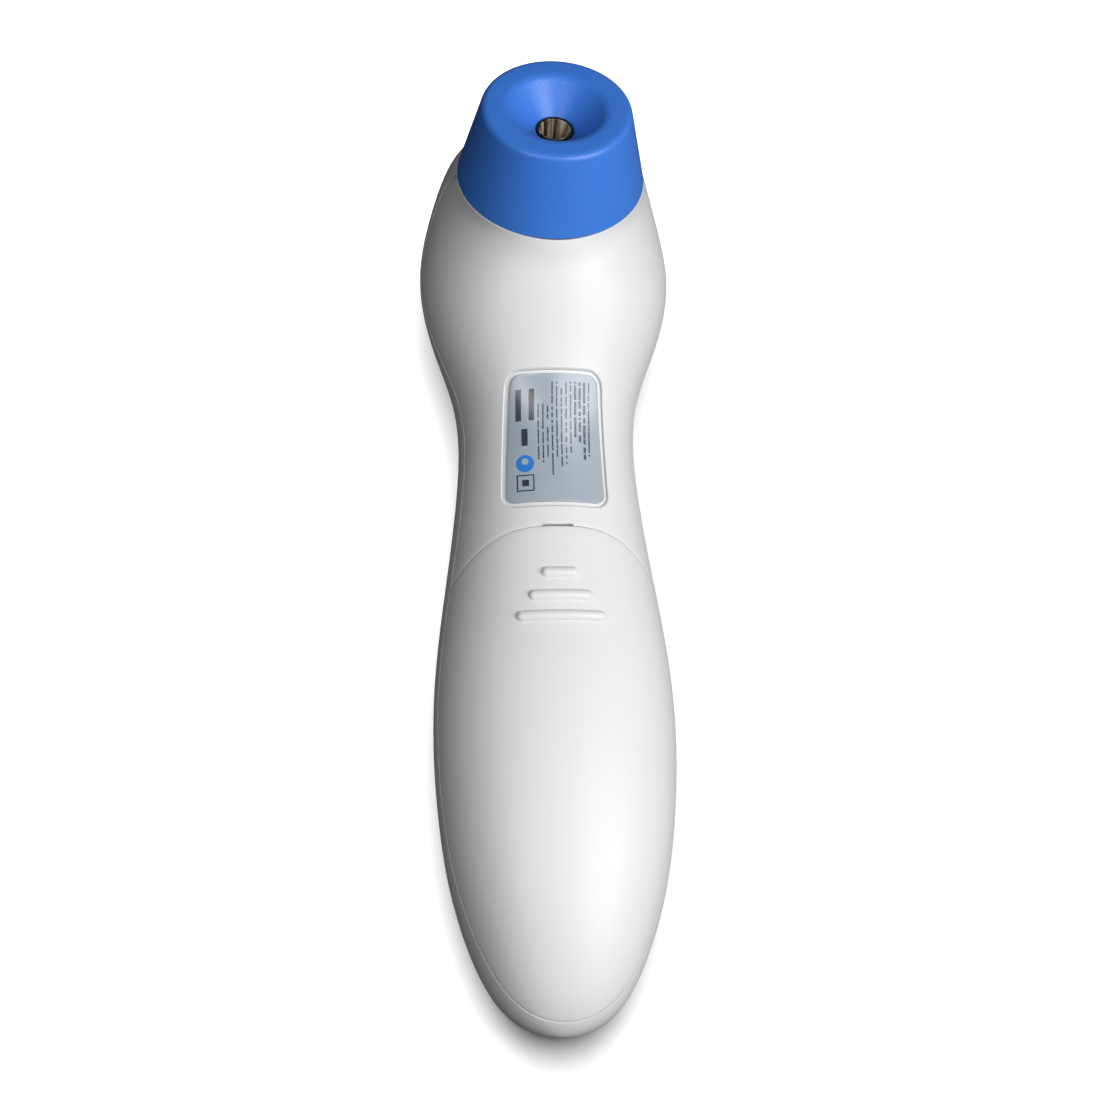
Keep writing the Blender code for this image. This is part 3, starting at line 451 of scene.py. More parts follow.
@dataclass(frozen=True)
class PrintedFilm:
    """A pale label film printed with plain bars, a disc and a hollow square, as generic marks."""

    name: str
    middle_y: float
    length: float
    film: Colour = (0.33, 0.39, 0.45)
    edge: Colour = (0.43, 0.49, 0.54)
    ink: Colour = (0.035, 0.045, 0.06)
    blue: Colour = (0.03, 0.22, 0.68)
    line_pitch: float = 0.76 * MM

    def make(self) -> Material:
        """Build the material.

        Returns:
            The material.
        """
        surface = Surface(self.name)
        here = surface.place(Vector((0.0, self.middle_y, 0.0)))
        x, y, _ = surface.axes(here)
        marks = self._lines(surface, x, y) + self._bars(x, y) + self._square(x, y)
        off_x, off_y = x + 4.9 * MM, y + 3.9 * MM
        disc = (off_x * off_x + off_y * off_y).math("SQRT") < 1.45 * MM
        spot_y = off_y - 0.35 * MM
        pale = ((off_x * off_x + spot_y * spot_y).math("SQRT") < 0.55 * MM) * disc
        wash = surface.noise(here, 9 * MM, 1.0)
        base = surface.blend(wash, self.film, self.edge)
        base = surface.blend(marks.math("MINIMUM", 1.0), base, self.ink)
        base = surface.blend(disc - pale, base, self.blue)
        fine = surface.noise(here, 0.2 * MM, 2.0)
        return surface.finish(
            {
                "Base Color": base,
                "Roughness": 0.26 + (fine - 0.5) * 0.08,
                "Normal": surface.bump(fine, 0.002 * MM),
                "Coat Weight": 0.15,
                "Coat Roughness": 0.1,
            }
        )

    def _lines(self, surface: Surface, x: Field, y: Field) -> Field:
        """Thin broken lines along the label, each of its own length, in two groups.

        Args:
            surface: The film's network.
            x: Across the label.
            y: Along it.

        Returns:
            1 on the lines.
        """
        row = (x / self.line_pitch).math("FLOOR")
        across = (x / self.line_pitch).math("FRACT")
        length = surface.noise(surface.vector(row * 7.31, 0.0, 0.0), 1.0, 0.0)
        words = surface.noise(surface.vector(row * 3.7, y / (0.6 * MM), 0.0), 1.0, 0.0) > 0.38
        letters = (surface.noise(surface.vector(x, y, 0.0), 0.17 * MM, 0.0) * 1.9).math("MINIMUM", 1.0)
        weight = 0.17 + x.between(3.04 * MM, 5.32 * MM) * 0.11
        near = (y > 9 * MM - length * (24 * MM)) * (y < self.length * 0.44)
        right = x.between(-0.76 * MM, 6.08 * MM) * near
        left = x.between(-3.04 * MM, -0.76 * MM) * (y > -6.2 * MM + length * (5 * MM)) * (y < 5.8 * MM)
        return ((across - 0.48).math("ABSOLUTE") < weight) * words * letters * (right + left)

    def _bars(self, x: Field, y: Field) -> Field:
        """Two thick plain bars beside each other, and a short one after them.

        Args:
            x: Across the label.
            y: Along it.

        Returns:
            1 on the bars.
        """
        pair = x.between(-6.3 * MM, -5.4 * MM) + x.between(-4.2 * MM, -3.3 * MM)
        short = x.between(-5.4 * MM, -4.4 * MM) * y.between(-0.9 * MM, 1.9 * MM)
        return pair * y.between(3.2 * MM, 8.2 * MM) + short

    def _square(self, x: Field, y: Field) -> Field:
        """A hollow square with a solid one in it."""
        reach = (x + 4.9 * MM).math("ABSOLUTE").math("MAXIMUM", (y + 7.2 * MM).math("ABSOLUTE"))
        return reach.between(1.2 * MM, 1.42 * MM) + (reach < 0.55 * MM)


@dataclass(frozen=True)
class Glazing:
    """A dark or milky clear sheet with a polished face."""

    name: str
    colour: Colour
    roughness: float = 0.04
    haze: float = 0.02

    def make(self) -> Material:
        """Build the material.

        Returns:
            The material.
        """
        surface = Surface(self.name)
        here = surface.place()
        smear = surface.noise(here, 5 * MM, 3.0, 0.6)
        darker = tuple(0.8 * c for c in self.colour)
        return surface.finish(
            {
                "Base Color": surface.blend(smear, self.colour, darker),
                "Roughness": self.roughness + smear * self.haze,
                "Coat Weight": 1.0,
                "Coat Roughness": 0.02,
                "IOR": 1.49,
            }
        )


@dataclass(frozen=True)
class CellSleeve:
    """The printed sleeve of a cell: plain bands of colour round it, and bare metal ends."""

    name: str
    start_y: float
    end_y: float
    band: Colour = (0.62, 0.30, 0.05)
    dark: Colour = (0.02, 0.022, 0.026)

    def make(self) -> Material:
        """Build the material.

        Returns:
            The material.
        """
        surface = Surface(self.name)
        here = surface.place()
        _, y, _ = surface.axes(here)
        share = (y - self.start_y) / (self.end_y - self.start_y)
        band = share.between(0.74, 0.985)
        line = share.between(0.71, 0.72)
        metal = 1 - share.between(0.006, 0.988)
        wear = surface.noise(here, 1.2 * MM, 4.0, 0.7)
        colour = surface.blend(band + line, self.dark, self.band)
        return surface.finish(
            {
                "Base Color": surface.blend(metal, colour, (0.68, 0.67, 0.64)),
                "Metallic": metal * 0.9 + band * 0.4,
                "Roughness": 0.3 + (wear - 0.5) * 0.12,
                "Normal": surface.bump(wear, 0.006 * MM),
            }
        )


class Finishes:
    """The object's shared materials, made once; each cell's sleeve is made with the cell."""

    def __init__(self, probe: ProbeFrame, label_box: tuple[Vector, Vector]) -> None:
        """Make the materials.

        Args:
            probe: The probe's axis, which its metal's lines follow.
            label_box: The label's lowest and highest corners.
        """
        label_y = (label_box[0].y + label_box[1].y) / 2
        label_length = label_box[1].y - label_box[0].y
        centre = (probe.base.y, probe.base.z)
        white = (0.80, 0.802, 0.806)
        self.white = MouldedPlastic("white_abs", white, (0.775, 0.778, 0.784), 0.44).make()
        self.inner_white = MouldedPlastic(
            "white_abs_inside", (0.70, 0.71, 0.73), (0.66, 0.67, 0.69), 0.5
        ).make()
        self.blue = MouldedPlastic(
            "blue_abs", (0.044, 0.198, 0.72), (0.054, 0.218, 0.76), 0.36, 0.1, 0.4 * MM, 0.05 * MM
        ).make()
        self.black = MouldedPlastic("black_plastic", (0.012, 0.012, 0.014), (0.02, 0.02, 0.022), 0.3).make()
        self.grey = MouldedPlastic("grey_plastic", (0.24, 0.25, 0.27), (0.2, 0.21, 0.23), 0.5).make()
        self.button = MouldedPlastic("button_plastic", (0.30, 0.36, 0.43), (0.27, 0.33, 0.40), 0.4).make()
        self.clear = MouldedPlastic("natural_nylon", (0.80, 0.80, 0.76), (0.74, 0.74, 0.69), 0.35).make()
        # The reflector's nickel is painted with reflection streaks along its axis: pale gold bands, with
        # near-black painted shade between them as its second colour.
        self.nickel = DrawnMetal(
            "waveguide_nickel", (1.0, 0.86, 0.64), (0.08, 0.05, 0.03), 0.24, centre=centre, tilt=probe.turn
        ).make()
        self.steel = DrawnMetal("steel", (0.62, 0.62, 0.63), (0.5, 0.5, 0.52), 0.28, along=False).make()
        self.contact = DrawnMetal(
            "contact_nickel", (0.70, 0.68, 0.63), (0.55, 0.53, 0.5), 0.24, along=False
        ).make()
        self.board = SolderMask("solder_mask").make()
        self.window = Glazing("smoked_window", (0.012, 0.014, 0.017)).make()
        self.lcd = Glazing("lcd_glass", (0.36, 0.41, 0.33), 0.12).make()
        self.silicon = Glazing("silicon_filter", (0.05, 0.055, 0.075), 0.06).make()
        self.red = MouldedPlastic("red_insulation", (0.50, 0.02, 0.02), (0.42, 0.015, 0.015), 0.4).make()
        self.sleeve = MouldedPlastic(
            "black_insulation", (0.015, 0.015, 0.016), (0.02, 0.02, 0.02), 0.4
        ).make()
        self.label = PrintedFilm("printed_film", label_y, label_length).make()


# ------------------------------------------------------------------------------------ meshes


def mesh_of(
    name: str, points: np.ndarray, faces: Sequence[Sequence[int]], edges: Sequence[Point] = ()
) -> Mesh:
    """A mesh from points and faces.

    Args:
        name: The mesh's name.
        points: An array of positions.
        faces: Point numbers of each face.
        edges: Point numbers of loose edges.

    Returns:
        The mesh, with doubled points merged where it has faces.
    """
    mesh = bpy.data.meshes.new(name)
    mesh.from_pydata(points.tolist(), [tuple(e) for e in edges], [tuple(f) for f in faces])
    if len(faces):
        mesh = cleaned(mesh, False)
    return mesh


def cleaned(mesh: Mesh, closed: bool = True, reach: float = 2e-6) -> Mesh:
    """Merge doubled points and, on closed solids, turn every face outwards.

    Args:
        mesh: The mesh to change.
        closed: Whether its solids are closed.
        reach: How near two points are one.

    Returns:
        The same mesh.
    """
    bm = bmesh.new()
    bm.from_mesh(mesh)
    bmesh.ops.remove_doubles(bm, verts=bm.verts, dist=reach)
    if closed:
        bmesh.ops.recalc_face_normals(bm, faces=bm.faces)
    bm.to_mesh(mesh)
    bm.free()
    return mesh


def joined(name: str, meshes: Sequence[Mesh]) -> Mesh:
    """Several meshes in one, each solid as it is.

    Args:
        name: The new mesh's name.
        meshes: The meshes to add up.

    Returns:
        The new mesh.
    """
    bm = bmesh.new()
    for mesh in meshes:
        bm.from_mesh(mesh)
    made = bpy.data.meshes.new(name)
    bm.to_mesh(made)
    bm.free()
    return made


def stacked(name: str, rings: np.ndarray) -> Mesh:
    """A closed solid through rings of points, with a cap on its first and last ring.

    Args:
        name: The mesh's name.
        rings: An array of rings, each with the same number of positions.

    Returns:
        The mesh, facing outwards.
    """
    count, width = rings.shape[:2]
    index = np.arange(count * width).reshape(count, width)
    after = np.roll(index, -1, axis=1)
    sides = np.stack((index[:-1], after[:-1], after[1:], index[1:]), -1).reshape(-1, 4)
    faces = [*sides.tolist(), index[0].tolist(), index[-1].tolist()]
    return cleaned(mesh_of(name, rings.reshape(-1, 3), faces))


def outline(half_x: float, half_y: float, corner: float, offset: float = 0.0, steps: int = 10) -> np.ndarray:
    """A rounded rectangle about the origin. A circle is one whose corners are its half sizes.

    Args:
        half_x: Half its width.
        half_y: Half its length.
        corner: The radius of its corners.
        offset: How far it's moved outwards.
        steps: Segments in each corner.

    Returns:
        Positions in plan, counter-clockwise.
    """
    reach = np.array((half_x - corner, half_y - corner))
    radius = corner + offset
    points = []
    for quarter, signs in enumerate(((1, 1), (-1, 1), (-1, -1), (1, -1))):
        angles = math.pi / 2 * (quarter + np.linspace(0, 1, steps + 1))
        arc = radius * np.stack((np.cos(angles), np.sin(angles)), -1)
        points.append(reach * signs + arc)
    return np.concatenate(points)


def quarter_round(radius: float, steps: int = 4) -> list[Point]:
    """Inset and depth of a quarter circle, from a face to the side below it.

    Args:
        radius: The circle's radius.
        steps: Its segments.

    Returns:
        Pairs of inset and depth.
    """
    angles = np.linspace(0, math.pi / 2, steps + 1)
    return [(radius * (1 - math.sin(a)), radius * (1 - math.cos(a))) for a in angles]


def layered(name: str, centre: Point, sizes: Triple, levels: Sequence[Point]) -> Mesh:
    """A solid through rounded rectangles, one above another.

    Args:
        name: The mesh's name.
        centre: Its middle in plan.
        sizes: Half width, half length and corner radius.
        levels: How far each ring is moved outwards, with its height.

    Returns:
        The mesh.
    """
    rings = []
    for offset, z in levels:
        plan = outline(*sizes, offset) + centre
        rings.append(np.column_stack((plan, np.full(len(plan), z))))
    return stacked(name, np.array(rings))


def slab(name: str, centre: Point, sizes: Triple, low: float, high: float, edge: float) -> Mesh:
    """A flat plate with rounded corners and edges.

    Args:
        name: The mesh's name.
        centre: Its middle in plan.
        sizes: Half width, half length and corner radius.
        low: Its lower face.
        high: Its upper face.
        edge: The radius of its edges.

    Returns:
        The mesh.
    """
    turns = quarter_round(edge)
    steps = [(-inset, low + depth) for inset, depth in turns]
    steps += [(-inset, high - depth) for inset, depth in reversed(turns)]
    return layered(name, centre, sizes, steps)


def mouth_cutter(name: str, centre: Point, sizes: Triple, top: float, edge: float) -> Mesh:
    """A cutter for an opening in the display face, which leaves its edge rounded.

    Args:
        name: The mesh's name.
        centre: The opening's middle in plan.
        sizes: Half width, half length and corner radius.
        top: How far it reaches into the case.
        edge: The radius that it leaves.

    Returns:
        The mesh.
    """
    steps = [(1.5 * edge, -1 * MM), *quarter_round(edge)[1:], (0.0, top)]
    return layered(name, centre, sizes, steps)


def settled(obj: Object) -> Object:
    """Apply an object's modifiers.

    Args:
        obj: The object.

    Returns:
        The same object with a plain mesh.
    """
    graph = bpy.context.evaluated_depsgraph_get()
    mesh = bpy.data.meshes.new_from_object(obj.evaluated_get(graph), depsgraph=graph)
    obj.modifiers.clear()
    obj.data = mesh
    return obj


def new_object(name: str, data: bpy.types.ID) -> Object:
    """Link a mesh, a light or a camera into the scene.

    Args:
        name: The object's name.
        data: What it holds.

    Returns:
        The object, at the origin.
    """
    obj = bpy.data.objects.new(name, data)
    bpy.context.scene.collection.objects.link(obj)
    return obj


def cut(obj: Object, cutters: Sequence[Mesh]) -> Object:
    """Cut an object and drop the cutters.

    Args:
        obj: The object to cut.
        cutters: Closed meshes that don't touch each other.

    Returns:
        The same object with a plain mesh.
    """
    cutter = new_object("cutter", joined("cutter", cutters))
    boolean = obj.modifiers.new("cut", "BOOLEAN")
    boolean.operation = "DIFFERENCE"
    boolean.solver = "EXACT"
    boolean.object = cutter
    settled(obj)
    bpy.data.objects.remove(cutter)
    return obj


def wall(name: str, rows: np.ndarray, thickness: float, edge: float) -> Object:
    """A wall from rows of points on its outside, thickened inwards, with soft edges.

    Args:
        name: The object's name.
        rows: Rows of positions, all of one length.
        thickness: The wall's thickness.
        edge: The width of its edges' rounding.

    Returns:
        The object with a plain mesh.
    """
    count, width = rows.shape[:2]
    index = np.arange(count * width).reshape(count, width)
    quads = np.stack((index[:-1, :-1], index[:-1, 1:], index[1:, 1:], index[1:, :-1]), -1)
    mesh = mesh_of(name, rows.reshape(-1, 3), quads.reshape(-1, 4).tolist())
    middle = rows.reshape(-1, 3).mean(0) - (0.0, 0.0, 8 * MM)
    centres = np.array([face.center for face in mesh.polygons])
    normals = np.array([face.normal * face.area for face in mesh.polygons])
    if ((centres - middle) * normals).sum() < 0:
        mesh.flip_normals()
    obj = new_object(name, mesh)
    solid = obj.modifiers.new("wall", "SOLIDIFY")
    solid.thickness = thickness
    solid.offset = -1.0
    solid.use_even_offset = True
    bevel = obj.modifiers.new("edges", "BEVEL")
    bevel.width = edge
    bevel.segments = 3
    bevel.angle_limit = math.radians(50)
    return settled(obj)


def plan_of(node: str) -> tuple[Point, Point]:
    """The middle and the half sizes in plan of a CAD node's box."""
    low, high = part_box(node)
    return ((low.x + high.x) / 2, (low.y + high.y) / 2), ((high.x - low.x) / 2, (high.y - low.y) / 2)


def set_over(mesh: Mesh, node: str, z: float) -> None:
    """Move a mesh from the origin to the middle of a CAD node, at a height."""
    mesh.transform(Matrix.Translation((*plan_of(node)[0], z)))


# ------------------------------------------------------------------------------------ recipes


class Recipe(Network):
    """A geometry node group with named inputs, which ends in realised and dressed geometry."""

    def __init__(self, name: str, sizes: dict[str, str]) -> None:
        """Make the group and its inputs.

        Args:
            name: The group's name.
            sizes: The inputs' names with their kinds, such as Float or Int.
        """
        tree = bpy.data.node_groups.new(name, "GeometryNodeTree")
        super().__init__(tree)
        tree.interface.new_socket("Shape", in_out="INPUT", socket_type="NodeSocketGeometry")
        for size, kind in {**sizes, "Finish": "Material"}.items():
            tree.interface.new_socket(size, in_out="INPUT", socket_type=f"NodeSocket{kind}")
        tree.interface.new_socket("Shape", in_out="OUTPUT", socket_type="NodeSocketGeometry")
        self.given = self.node("NodeGroupInput")

    def size(self, name: str) -> Field:
        """One of the group's inputs."""
        return Field(self, self.given.outputs[name])

    def end(self, *shapes: Socket) -> None:
        """Join the shapes, realise them and give them the finish.

        Args:
            shapes: Geometry sockets.
        """
        both = self.node("GeometryNodeJoinGeometry")
        for shape in shapes:
            self.feed(both.inputs[0], shape)
        real = self.node("GeometryNodeRealizeInstances", None, {0: both.outputs[0]})
        inputs = {"Geometry": real.outputs[0], "Material": self.given.outputs["Finish"]}
        dressed = self.node("GeometryNodeSetMaterial", None, inputs)
        self.node("NodeGroupOutput", None, {0: dressed.outputs[0]})

    def rod(self, line: Socket, radius: Field, sides: Field | int, **shape: Field) -> Socket:
        """Sweep a circle along a curve.

        Args:
            line: The curve.
            radius: The circle's radius.
            sides: Its segments.
            shape: Other inputs of the sweep.

        Returns:
            The rod, closed at its ends.
        """
        inputs = {"Resolution": sides, "Radius": radius}
        circle = self.node("GeometryNodeCurvePrimitiveCircle", None, inputs)
        inputs = {"Curve": line, "Profile Curve": circle.outputs[0], "Fill Caps": True, **shape}
        return self.node("GeometryNodeCurveToMesh", None, inputs).outputs[0]

    def make(self, source: Mesh, finish: Material, sizes: dict[str, float]) -> Mesh:
        """Run the group on a mesh.

        Args:
            source: The geometry that it starts from.
            finish: The material it ends in.
            sizes: Values of its inputs.

        Returns:
            A plain mesh.
        """
        obj = new_object("source", source)
        modifier = obj.modifiers.new("recipe", "NODES")
        modifier.node_group = self.tree
        values = {**sizes, "Finish": finish}
        for item in self.tree.interface.items_tree:
            if item.in_out == "INPUT" and item.name in values:
                modifier[item.identifier] = values[item.name]
        mesh = settled(obj).data
        bpy.data.objects.remove(obj)
        return cleaned(mesh)


class TurningRecipe(Recipe):
    """Turns a profile of (radius, 0, height) points about Z."""

    def __init__(self) -> None:
        """Lay out a grid whose rows are the profile's points and whose columns go round."""
        super().__init__("turned_profile", {"Sides": "Int"})
        shape = self.given.outputs["Shape"]
        columns = self.size("Sides") + 1
        points = self.node("GeometryNodeAttributeDomainSize", {"component": "MESH"}, {0: shape})
        rows = points.outputs["Point Count"]
        grid = self.node("GeometryNodeMeshGrid", None, {"Vertices X": rows, "Vertices Y": columns})
        index = Field(self, self.node("GeometryNodeInputIndex").outputs[0])
        row = (index / columns).math("FLOOR")
        angle = (index - row * columns) * (2 * math.pi) / self.size("Sides")
        here = self.node("GeometryNodeInputPosition").outputs[0]
        inputs = {"Geometry": shape, "Value": here, "Index": row}
        sample = self.node("GeometryNodeSampleIndex", {"data_type": "FLOAT_VECTOR"}, inputs)
        radius, _, height = self.axes(sample.outputs["Value"])
        round_ = self.vector(radius * angle.math("COSINE"), radius * angle.math("SINE"), height)
        inputs = {"Geometry": grid.outputs["Mesh"], "Position": round_}
        self.end(self.node("GeometryNodeSetPosition", None, inputs).outputs[0])

    def turn(self, name: str, profile: Sequence[Point], finish: Material, sides: int = 96) -> Mesh:
        """Turn a profile.

        Args:
            name: The mesh's name.
            profile: Radius and height of its points, closed where the last repeats the first.
            finish: Its material.
            sides: Segments round the axis.

        Returns:
            The mesh.
        """
        points = np.array([(radius, 0.0, height) for radius, height in profile])
        source = mesh_of(name, points, [])
        return self.make(source, finish, {"Sides": sides})


class SweepRecipe(Recipe):
    """Sweeps a round rod along lines, with ends as round as the rod."""

    def __init__(self) -> None:
        """Scale a circle by the distance to the nearer end of each line, and sweep it."""
        super().__init__("round_ended_rod", {"Radius": "Float", "Sides": "Int"})
        line = self.node("GeometryNodeMeshToCurve", None, {0: self.given.outputs["Shape"]}).outputs[0]
        gone = Field(self, self.node("GeometryNodeSplineParameter").outputs["Length"])
        whole = Field(self, self.node("GeometryNodeSplineLength").outputs["Length"])
        left = gone.math("MINIMUM", whole - gone)
        inside = (1 - left / self.size("Radius")).math("MAXIMUM", 0.0)
        share = (1 - inside * inside).math("SQRT").math("MAXIMUM", 0.02)
        self.end(self.rod(line, self.size("Radius"), self.size("Sides"), Scale=share))


class CoilRecipe(Recipe):
    """A conical coil of round wire about Z."""

    def __init__(self) -> None:
        """Sweep a circle along a spiral."""
        kinds = {"Turns": "Float", "Wide": "Float", "Narrow": "Float", "Height": "Float", "Wire": "Float"}
        super().__init__("contact_coil", kinds)
        sizes = {"Rotations": "Turns", "Start Radius": "Wide", "End Radius": "Narrow", "Height": "Height"}
        inputs = {socket: self.size(size) for socket, size in sizes.items()}
        spiral = self.node("GeometryNodeCurveSpiral", None, {"Resolution": 40, **inputs})
        self.end(self.rod(spiral.outputs[0], self.size("Wire"), 12))


class LegRecipe(Recipe):
    """Rows of one leg along two sides of a chip."""

    def __init__(self) -> None:
        """Set the leg on a line of points, and a turned copy on the other side."""
        super().__init__("chip_legs", {"Count": "Int", "Pitch": "Float", "Reach": "Float"})
        count, pitch = self.size("Count"), self.size("Pitch")
        start = self.vector(self.size("Reach"), (1 - count) * pitch / 2, 0.0)
        inputs = {"Count": count, "Start Location": start, "Offset": self.vector(0.0, pitch, 0.0)}
        line = self.node("GeometryNodeMeshLine", {"mode": "OFFSET"}, inputs)
        inputs = {"Points": line.outputs[0], "Instance": self.given.outputs["Shape"]}
        row = self.node("GeometryNodeInstanceOnPoints", None, inputs).outputs[0]
        real = self.node("GeometryNodeRealizeInstances", None, {0: row}).outputs[0]
        turned = self.node("GeometryNodeTransform", None, {0: real, "Rotation": (0.0, 0.0, math.pi)})
        self.end(real, turned.outputs[0])


class ScrewRecipe(Recipe):
    """Cuts a cross recess into a screw's head and winds a thread round its shank."""

    def __init__(self) -> None:
        """Cut with two crossed bars, then add a coil of fine wire that runs out at the tip."""
        kinds = {"Recess": "Float", "Depth": "Float", "Shank": "Float", "Length": "Float", "Pitch": "Float"}
        super().__init__("cross_recess_screw", kinds)
        long, slim = self.size("Recess"), self.size("Recess") * 0.24
        depth = self.size("Depth") * 2
        bars = [
            self.node("GeometryNodeMeshCube", None, {"Size": self.vector(*sizes)}).outputs[0]
            for sizes in ((long, slim, depth), (slim, long, depth * 0.96))
        ]
        inputs = {"Mesh 1": self.given.outputs["Shape"]}
        boolean = self.node("GeometryNodeMeshBoolean", {"operation": "DIFFERENCE", "solver": "EXACT"}, inputs)
        for bar in bars:
            self.feed(boolean.inputs["Mesh 2"], bar)
        shank, length, pitch = self.size("Shank"), self.size("Length"), self.size("Pitch")
        inputs = {"Resolution": 20, "Rotations": length / pitch, "Height": length}
        inputs |= {"Start Radius": shank * 0.5, "End Radius": shank}
        spiral = self.node("GeometryNodeCurveSpiral", None, inputs)
        thread = self.rod(spiral.outputs[0], pitch * 0.22, 5)
        down = self.vector(0.0, 0.0, 0 - length - 2.2 * MM)
        moved = self.node("GeometryNodeTransform", None, {0: thread, "Translation": down})
        self.end(boolean.outputs["Mesh"], moved.outputs[0])


@dataclass
class Workshop:
    """The recipes, the finishes, and the last steps of every piece."""

    finishes: Finishes
    nodes: dict[str, Object]
    turning: TurningRecipe = field(default_factory=TurningRecipe)
    sweeping: SweepRecipe = field(default_factory=SweepRecipe)
    coiling: CoilRecipe = field(default_factory=CoilRecipe)
    legging: LegRecipe = field(default_factory=LegRecipe)
    screwing: ScrewRecipe = field(default_factory=ScrewRecipe)

    def fit(
        self,
        obj: Object | Mesh,
        name: str,
        finish: Material,
        body: Body,
        slot: str,
        stands_for: Sequence[str] = (),
        sharp: float = 40.0,
    ) -> Object:
        """Shade a piece, dress it, and join it to its body.

        Args:
            obj: The piece, or its mesh.
            name: The piece's name.
            finish: Its material.
            body: The body it moves with.
            slot: The record's material slot; not used.
            stands_for: CAD nodes that it replaces.
            sharp: The angle in degrees past which an edge stays sharp.

        Returns:
            The piece.
        """
        if isinstance(obj, Mesh):
            obj = new_object(name, obj)
        obj.name = name
        obj.data.name = name
        obj.data.materials.clear()
        obj.data.materials.append(finish)
        obj.data.shade_smooth()
        obj.data.set_sharp_from_angle(angle=math.radians(sharp))
        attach(obj, body.value)
        if stands_for:
            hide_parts(*stands_for)
        LOG.info("%s: %d faces on %s", name, len(obj.data.polygons), body.value)
        return obj

    def dress(self, finish: Material, *names: str) -> None:
        """Give CAD nodes a finish and leave their shapes as they are.

        Args:
            finish: The material.
            names: The nodes.
        """
        for name in names:
            obj = self.nodes[name]
            obj.data.materials.clear()
            obj.data.materials.append(finish)
            LOG.info("%s: dressed in %s", name, finish.name)


# ------------------------------------------------------------------------------------ case


@dataclass(frozen=True)
class ProbeFrame:
    """The probe's axis: the middle of the case's rim under the cap, and its tilt from the handle."""

    base: Vector
    tilt: float = math.radians(62.0)

    @property
    def turn(self) -> float:
        """The turn about X that brings +Z onto the axis."""
        return self.tilt - math.pi / 2

    def place(self, mesh: Mesh) -> Mesh:
        """Move a mesh turned about Z onto the axis."""
        mesh.transform(Matrix.Translation(self.base) @ Matrix.Rotation(self.turn, 4, "X"))
        return mesh


